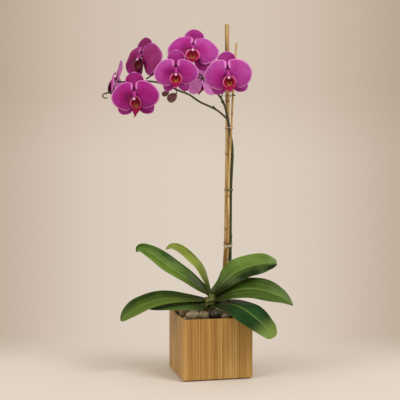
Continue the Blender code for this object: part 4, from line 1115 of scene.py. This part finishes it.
def throat():
    """The lip's side lobes and the cup between them: an egg-shaped bowl whose wall rises steeply and
    then flares, tall at the sides, low under the column and where the middle lobe leaves it. Made
    as rings up its outside and down its inside."""
    rows, sides, half_wall, bottom = 16, 56, 0.00035, -0.0022
    around = full_turn(sides)[None, :]
    lift = np.concatenate([np.linspace(0.06, 1, rows), np.linspace(1, 0.06, rows)])[:, None]
    wall = np.repeat([half_wall, -half_wall], rows)[:, None]
    reach = eased(lift, [(0, 0), (0.3, 0.50), (0.6, 0.76), (0.85, 0.92), (1, 1.08)])
    rise = eased(lift, [(0, 0), (0.3, 0.12), (0.6, 0.48), (0.85, 0.86), (1, 1)])
    tall = 0.0036 + 0.0062 * np.abs(np.sin(around)) ** 0.8 * (1 + 0.1 * np.cos(around))
    x = (0.0120 * (1 + 0.18 * np.cos(around)) * reach + wall) * np.sin(around)
    z = -0.0152 - (0.0108 * reach + wall) * np.cos(around)
    y = bottom - tall * rise + wall * (1 - rise)
    rear = np.array([[0, bottom, -0.0152]])
    rings = np.stack([x, y, z], axis=-1)
    points, faces, marks = capped(rings, rear + [[0, half_wall, 0]], rear - [[0, half_wall, 0]])
    outside = np.repeat([1.0, 0.0], rows * sides)
    rising = np.repeat(lift[:, 0], sides)
    high = np.clip(0.6 - 0.7 * np.cos(around), 0, 1).repeat(2 * rows, axis=0).ravel()
    marks |= {"back": np.append(outside, [1.0, 0.0]), "along": np.append(rising, [0.0, 0.0]),
              "high": np.append(high, [0.0, 0.0])}
    return points, faces, marks


def mid_lobe(spread, longer):
    """The lip's middle lobe: a neck that widens at once to two blunt corners and then narrows to a
    point, like an anchor's fluke, with its edges rolled back. spread and longer scale it."""
    s = np.linspace(0, 1, 30)
    v = np.sin(np.linspace(-np.pi / 2, np.pi / 2, 17))[None, :]
    line = smooth_path([(0, -0.0056, -0.0210), (0, -0.0104, -0.0245), (0, -0.0140, -0.0285),
                        (0, -0.0158, -0.0320), (0, -0.0156, -0.0356)], s)
    half = spread * eased(s, [(0, 0.0052), (0.16, 0.0088), (0.32, 0.0112), (0.48, 0.0108), (0.68, 0.0072),
                              (0.86, 0.0036), (1, 0.0008)])
    x = half[:, None] * v
    y = line[:, 1:2] + 0.0034 * v ** 2 * np.sin(np.pi * s[:, None]) - 0.0006 * bell(v, 0, 0.2)
    z = -0.0210 + (line[:, 2:3] + 0.0210) * longer + 0.0016 * v ** 2
    body = plate(np.stack([x, y, z], axis=-1), 0.0009 - 0.0004 * v ** 2 + 0 * x)
    return gridded(body, along=s[:, None] + 0 * v, across=np.abs(v) + 0 * s[:, None])


def tendril(side, longer):
    """A thread that curls from the middle lobe's tip."""
    t = np.linspace(0, 1, 22)
    path = np.stack([side * (0.0006 + 0.0038 * t), -0.0155 - 0.0020 * np.sin(2.6 * t),
                     -0.0210 - 0.0128 * longer - 0.0030 * np.sin(3.4 * t)], axis=1)
    return tube(path, 0.0004 * (1 - 0.7 * t), 8)


def callus():
    """The callus: two blunt horns that stand up in the throat and lean together, on a low ridge,
    with a pale tooth to either side of their foot."""
    t = np.linspace(0, 1, 16)
    bodies = []
    for side in (-1, 1):
        path = smooth_path([(side * 0.0006, -0.0104, -0.0260), (side * 0.0026, -0.0096, -0.0222),
                            (side * 0.0038, -0.0090, -0.0188), (side * 0.0028, -0.0088, -0.0160)], t)
        horn = tube(path, 0.0010 * np.sqrt(1 - 0.85 * t ** 2), 12, guide=(1.0, 0, 0))
        bodies.append(marked(horn, tooth=0.0))
        path = smooth_path([(side * 0.0058, -0.0096, -0.0262), (side * 0.0068, -0.0112, -0.0246),
                            (side * 0.0066, -0.0122, -0.0228)], t)
        tooth = tube(path, 0.0011 * np.sqrt(1 - 0.9 * t ** 2), 12, guide=(1.0, 0, 0))
        bodies.append(marked(tooth, tooth=1.0))
    ridge = np.stack([0 * t, -0.0058 - 0.0052 * t, -0.0185 - 0.0078 * t], axis=1)
    swell = np.sqrt(np.clip(np.sin(np.pi * (0.08 + 0.84 * t)), 0.05, 1))
    bodies.append(marked(tube(ridge, 0.0011 * swell, 12), tooth=0.0))
    return bodies


def column():
    """The column: a short arched post over the throat, with the round cap at its tip."""
    t = np.linspace(0, 1, 22)
    path = smooth_path([(0, 0.0010, 0.0075), (0, -0.0030, 0.0050), (0, -0.0080, -0.0005),
                        (0, -0.0108, -0.0046), (0, -0.0118, -0.0070)], t)
    radii = eased(t, [(0, 0.0016), (0.25, 0.0026), (0.6, 0.0028), (0.9, 0.0025), (1, 0.0016)])
    points, faces, marks = tube(path, radii, 20, guide=(1.0, 0, 0), flat=1.15)
    post = points, faces, marks | {"cap": 0.6 * marks["along"]}
    polar = np.linspace(0, np.pi, 14)
    cap_path = np.array([0, -0.0134, -0.0080]) + np.outer(-0.0024 * np.cos(polar), [0, 0.55, 0.83])
    cap = tube(cap_path, 0.0024 * np.clip(np.sin(polar), 0.05, 1), 18, guide=(1.0, 0, 0))
    return [post, marked(cap, cap=1.0)]


def make_flower(name, at, turn, nod, roll, scale, lip, tone, petals, skins, rng,
                laterals=(228, 312, 0.82)):
    """One flower: sepals, two petals, lip with its callus, and column, about where they meet."""
    lip_turn, lip_shift, shade, spread, longer = lip

    def carried(body):
        return moved(body, lambda p: from_plant(flower_turn(p * scale, turn, nod, roll) + np.array(at)))

    def rear_marked(body):
        points, faces, marks = carried(body)
        half = len(points) // 2
        behind = from_plant(flower_turn(np.array([0, 1.0, 0]), turn, nod, roll))
        front_first = (points[:half].mean(axis=0) - points[half:].mean(axis=0)) @ behind < 0
        return points, faces, marks if front_first else marks | {"back": 1 - marks["back"]}

    def aside(points):
        pivot = np.array([0, -0.0088, 0])
        return turned(points - pivot, -lip_turn, 2) + pivot + np.array([lip_shift, 0, 0])

    left, right, breadth = laterals
    whorl = [DORSAL, (left, LATERAL, breadth), (right, LATERAL, breadth)]
    blades = [marked(rear_marked(sepal(*values, rng.uniform(0, 6, 2))), fade=0.2) for values in whorl]
    add_piece(f"{name}_whorl", blades, skins[f"{tone}_sepal"], [f"{name}_sepals"])
    for side, label, (swing, above, below, fade) in zip((-1, 1), ("left", "right"), petals):
        blade = marked(rear_marked(petal(side, swing, above, below, rng.uniform(0, 6, 3))), fade=fade)
        add_piece(f"{name}_{label}_blade", [blade], skins[f"{tone}_petal"], [f"{name}_petal_{label}"])
    parts = {"side_lobes": [throat()], "callus": callus(), "column": column(),
             "mid_lobe": [mid_lobe(spread, longer), tendril(-1, longer), tendril(1, longer)]}
    for part, bodies in parts.items():
        if part != "column":
            bodies = [moved(body, aside) for body in bodies]
        bodies = [marked(carried(body), shade=shade) for body in bodies]
        add_piece(f"{name}_{part}", bodies, skins[part], [f"{name}_lip"])


def make_flowers():
    """The seven flowers, each a little unlike the others."""
    rng = np.random.default_rng(5)
    skins = {"side_lobes": lip_tissue(), "mid_lobe": mid_lobe_tissue(), "callus": callus_tissue(),
             "column": column_tissue()}
    for tone, (deep, middle, light, rim) in TONES.items():
        skins[f"{tone}_petal"] = petal_tissue(f"petal_tissue_{tone}", deep, middle, light, rim)
        darker = [shaded(colour, 0.91) for colour in (deep, middle, light)]
        skins[f"{tone}_sepal"] = petal_tissue(f"sepal_tissue_{tone}", *darker, rim)
    for name, values in FLOWERS.items():
        make_flower(name, **values, skins=skins, rng=rng)


# ---------------------------------------------------------------- stage, light and camera

CAMERA_PLACE = (-0.362, -1.500, 0.350)
CAMERA_LENS = 68.4
DISTANCE = 1.543                # from the camera to the plant, along its view


def backdrop_paint():
    """Seamless studio paper, warm beige: it takes shadows near the planter; further off it shows
    as a soft pool of light that falls off to the sides, seen straight and not lit."""
    material = bpy.data.materials.new("studio_paper")
    material.use_nodes = True
    tree = material.node_tree
    tree.nodes.clear()
    place = object_place(tree)
    lie = add(tree, "Mapping", {"Vector": place, "Rotation": (0.0, 0.0, -PLANT_TURN)})
    right = coordinate(tree, lie, 0)
    away = coordinate(tree, lie, 1)
    up = coordinate(tree, lie, 2)
    depth = calculate(tree, "MAXIMUM", calculate(tree, "ADD", away, DISTANCE), 1.3)
    aside = calculate(tree, "ABSOLUTE", calculate(tree, "ADD", right, 0.03))
    aside = calculate(tree, "DIVIDE", aside, depth)
    pool = ramp(tree, aside, [(0.0, "#DDD0C1"), (0.08, "#DCCEBF"), (0.145, "#D8C8B9"), (0.20, "#CFBEAE"),
                              (0.26, "#C2B19F"), (0.5, "#B09E8B")])
    height = ramp(tree, up, [(0.0, "#FFFFFF"), (0.6, "#FFFFFF"), (1.0, "#F6F3F0")])
    pool = mixed(tree, 1.0, pool, height, "MULTIPLY")
    rays = add(tree, "LightPath", output="Is Camera Ray")
    for kind in ("Is Glossy Ray", "Is Transmission Ray"):
        rays = calculate(tree, "MAXIMUM", rays, add(tree, "LightPath", output=kind))
    glow = add(tree, "Emission", {"Color": pool, "Strength": 1.0})
    clear = add(tree, "BsdfTransparent")
    far = add(tree, "MixShader", {0: rays, 1: clear, 2: glow})
    near = add(tree, "BsdfDiffuse", {"Color": linear("#E5DED6")})
    reach = add(tree, "VectorMath", {0: place}, output="Value", operation="LENGTH")
    share = smooth_step(tree, reach, 0.50, 1.10)
    behind = smooth_step(tree, away, 0.02, 0.46)
    share = calculate(tree, "MAXIMUM", share, behind)
    whole = add(tree, "MixShader", {0: share, 1: near, 2: far})
    add(tree, "OutputMaterial", {0: whole})
    return material


def make_stage():
    """A sheet of paper turned round the vertical: flat floor, a wide sweep, an upright wall."""
    flat, bend, below = 2.2, 0.9, 0.0002
    floor = np.concatenate([[0.0005], np.linspace(0.05, flat, 44)])
    sweep = np.linspace(0, np.pi / 2, 20)[1:]
    radius = np.concatenate([floor, flat + bend * np.sin(sweep), [flat + bend] * 2])
    height = np.concatenate([0 * floor, bend - bend * np.cos(sweep), [2.4, 4.2]]) - below
    angle = full_turn(96)
    points = np.stack([radius[:, None] * np.cos(angle), radius[:, None] * np.sin(angle),
                       height[:, None] + 0 * angle], axis=-1).reshape(-1, 3)
    mesh = bpy.data.meshes.new("studio_sweep")
    mesh.from_pydata(points, [], grid_quads(len(radius), 96, wrap=True).tolist())
    mesh.shade_smooth()
    mesh.materials.append(backdrop_paint())
    sheet = bpy.data.objects.new("studio_sweep", mesh)
    bpy.context.scene.collection.objects.link(sheet)


def add_lamp(name, place, size, watts, colour):
    """A square soft box that points at the middle of the plant."""
    lamp = bpy.data.lights.new(name, "AREA")
    lamp.size, lamp.energy, lamp.color = size, watts, linear(colour)[:3]
    holder = bpy.data.objects.new(name, lamp)
    bpy.context.scene.collection.objects.link(holder)
    spot = from_plant(np.array(place, float))
    ahead = np.array([0, 0, PLANT_MIDDLE]) - spot
    holder.location = spot
    flat = math.hypot(ahead[0], ahead[1])
    holder.rotation_euler = (math.atan2(flat, -ahead[2]), 0, math.atan2(-ahead[0], ahead[1]))


def make_light():
    """Even warm light from all round, and a large soft box high on the right, in front."""
    world = bpy.data.worlds.new("studio_air")
    bpy.context.scene.world = world
    world.use_nodes = True
    air = world.node_tree.nodes["Background"]
    air.inputs["Color"].default_value = linear("#FFF0DE")
    air.inputs["Strength"].default_value = 0.55
    add_lamp("key_soft_box", (1.5, -1.3, 2.1), 1.3, 33.0, "#FFFFFF")
    add_lamp("fill_soft_box", (-1.8, -1.3, 1.4), 1.5, 22.0, "#FFFCF6")


def make_camera():
    """A level camera in front of the planter, turned to look along the plant's y axis."""
    lens = bpy.data.cameras.new("camera")
    lens.lens, lens.sensor_width = CAMERA_LENS, 36.0
    camera = bpy.data.objects.new("camera", lens)
    bpy.context.scene.collection.objects.link(camera)
    camera.location = CAMERA_PLACE
    camera.rotation_euler = (math.radians(90), 0, PLANT_TURN)
    bpy.context.scene.camera = camera


make_camera()
finish_planter()
make_pebbles()
make_stakes()
make_ties()
make_crown()
make_leaves()
make_spike()
make_buds()
make_flowers()
make_stage()
make_light()
bpy.context.scene.view_settings.view_transform = "Standard"
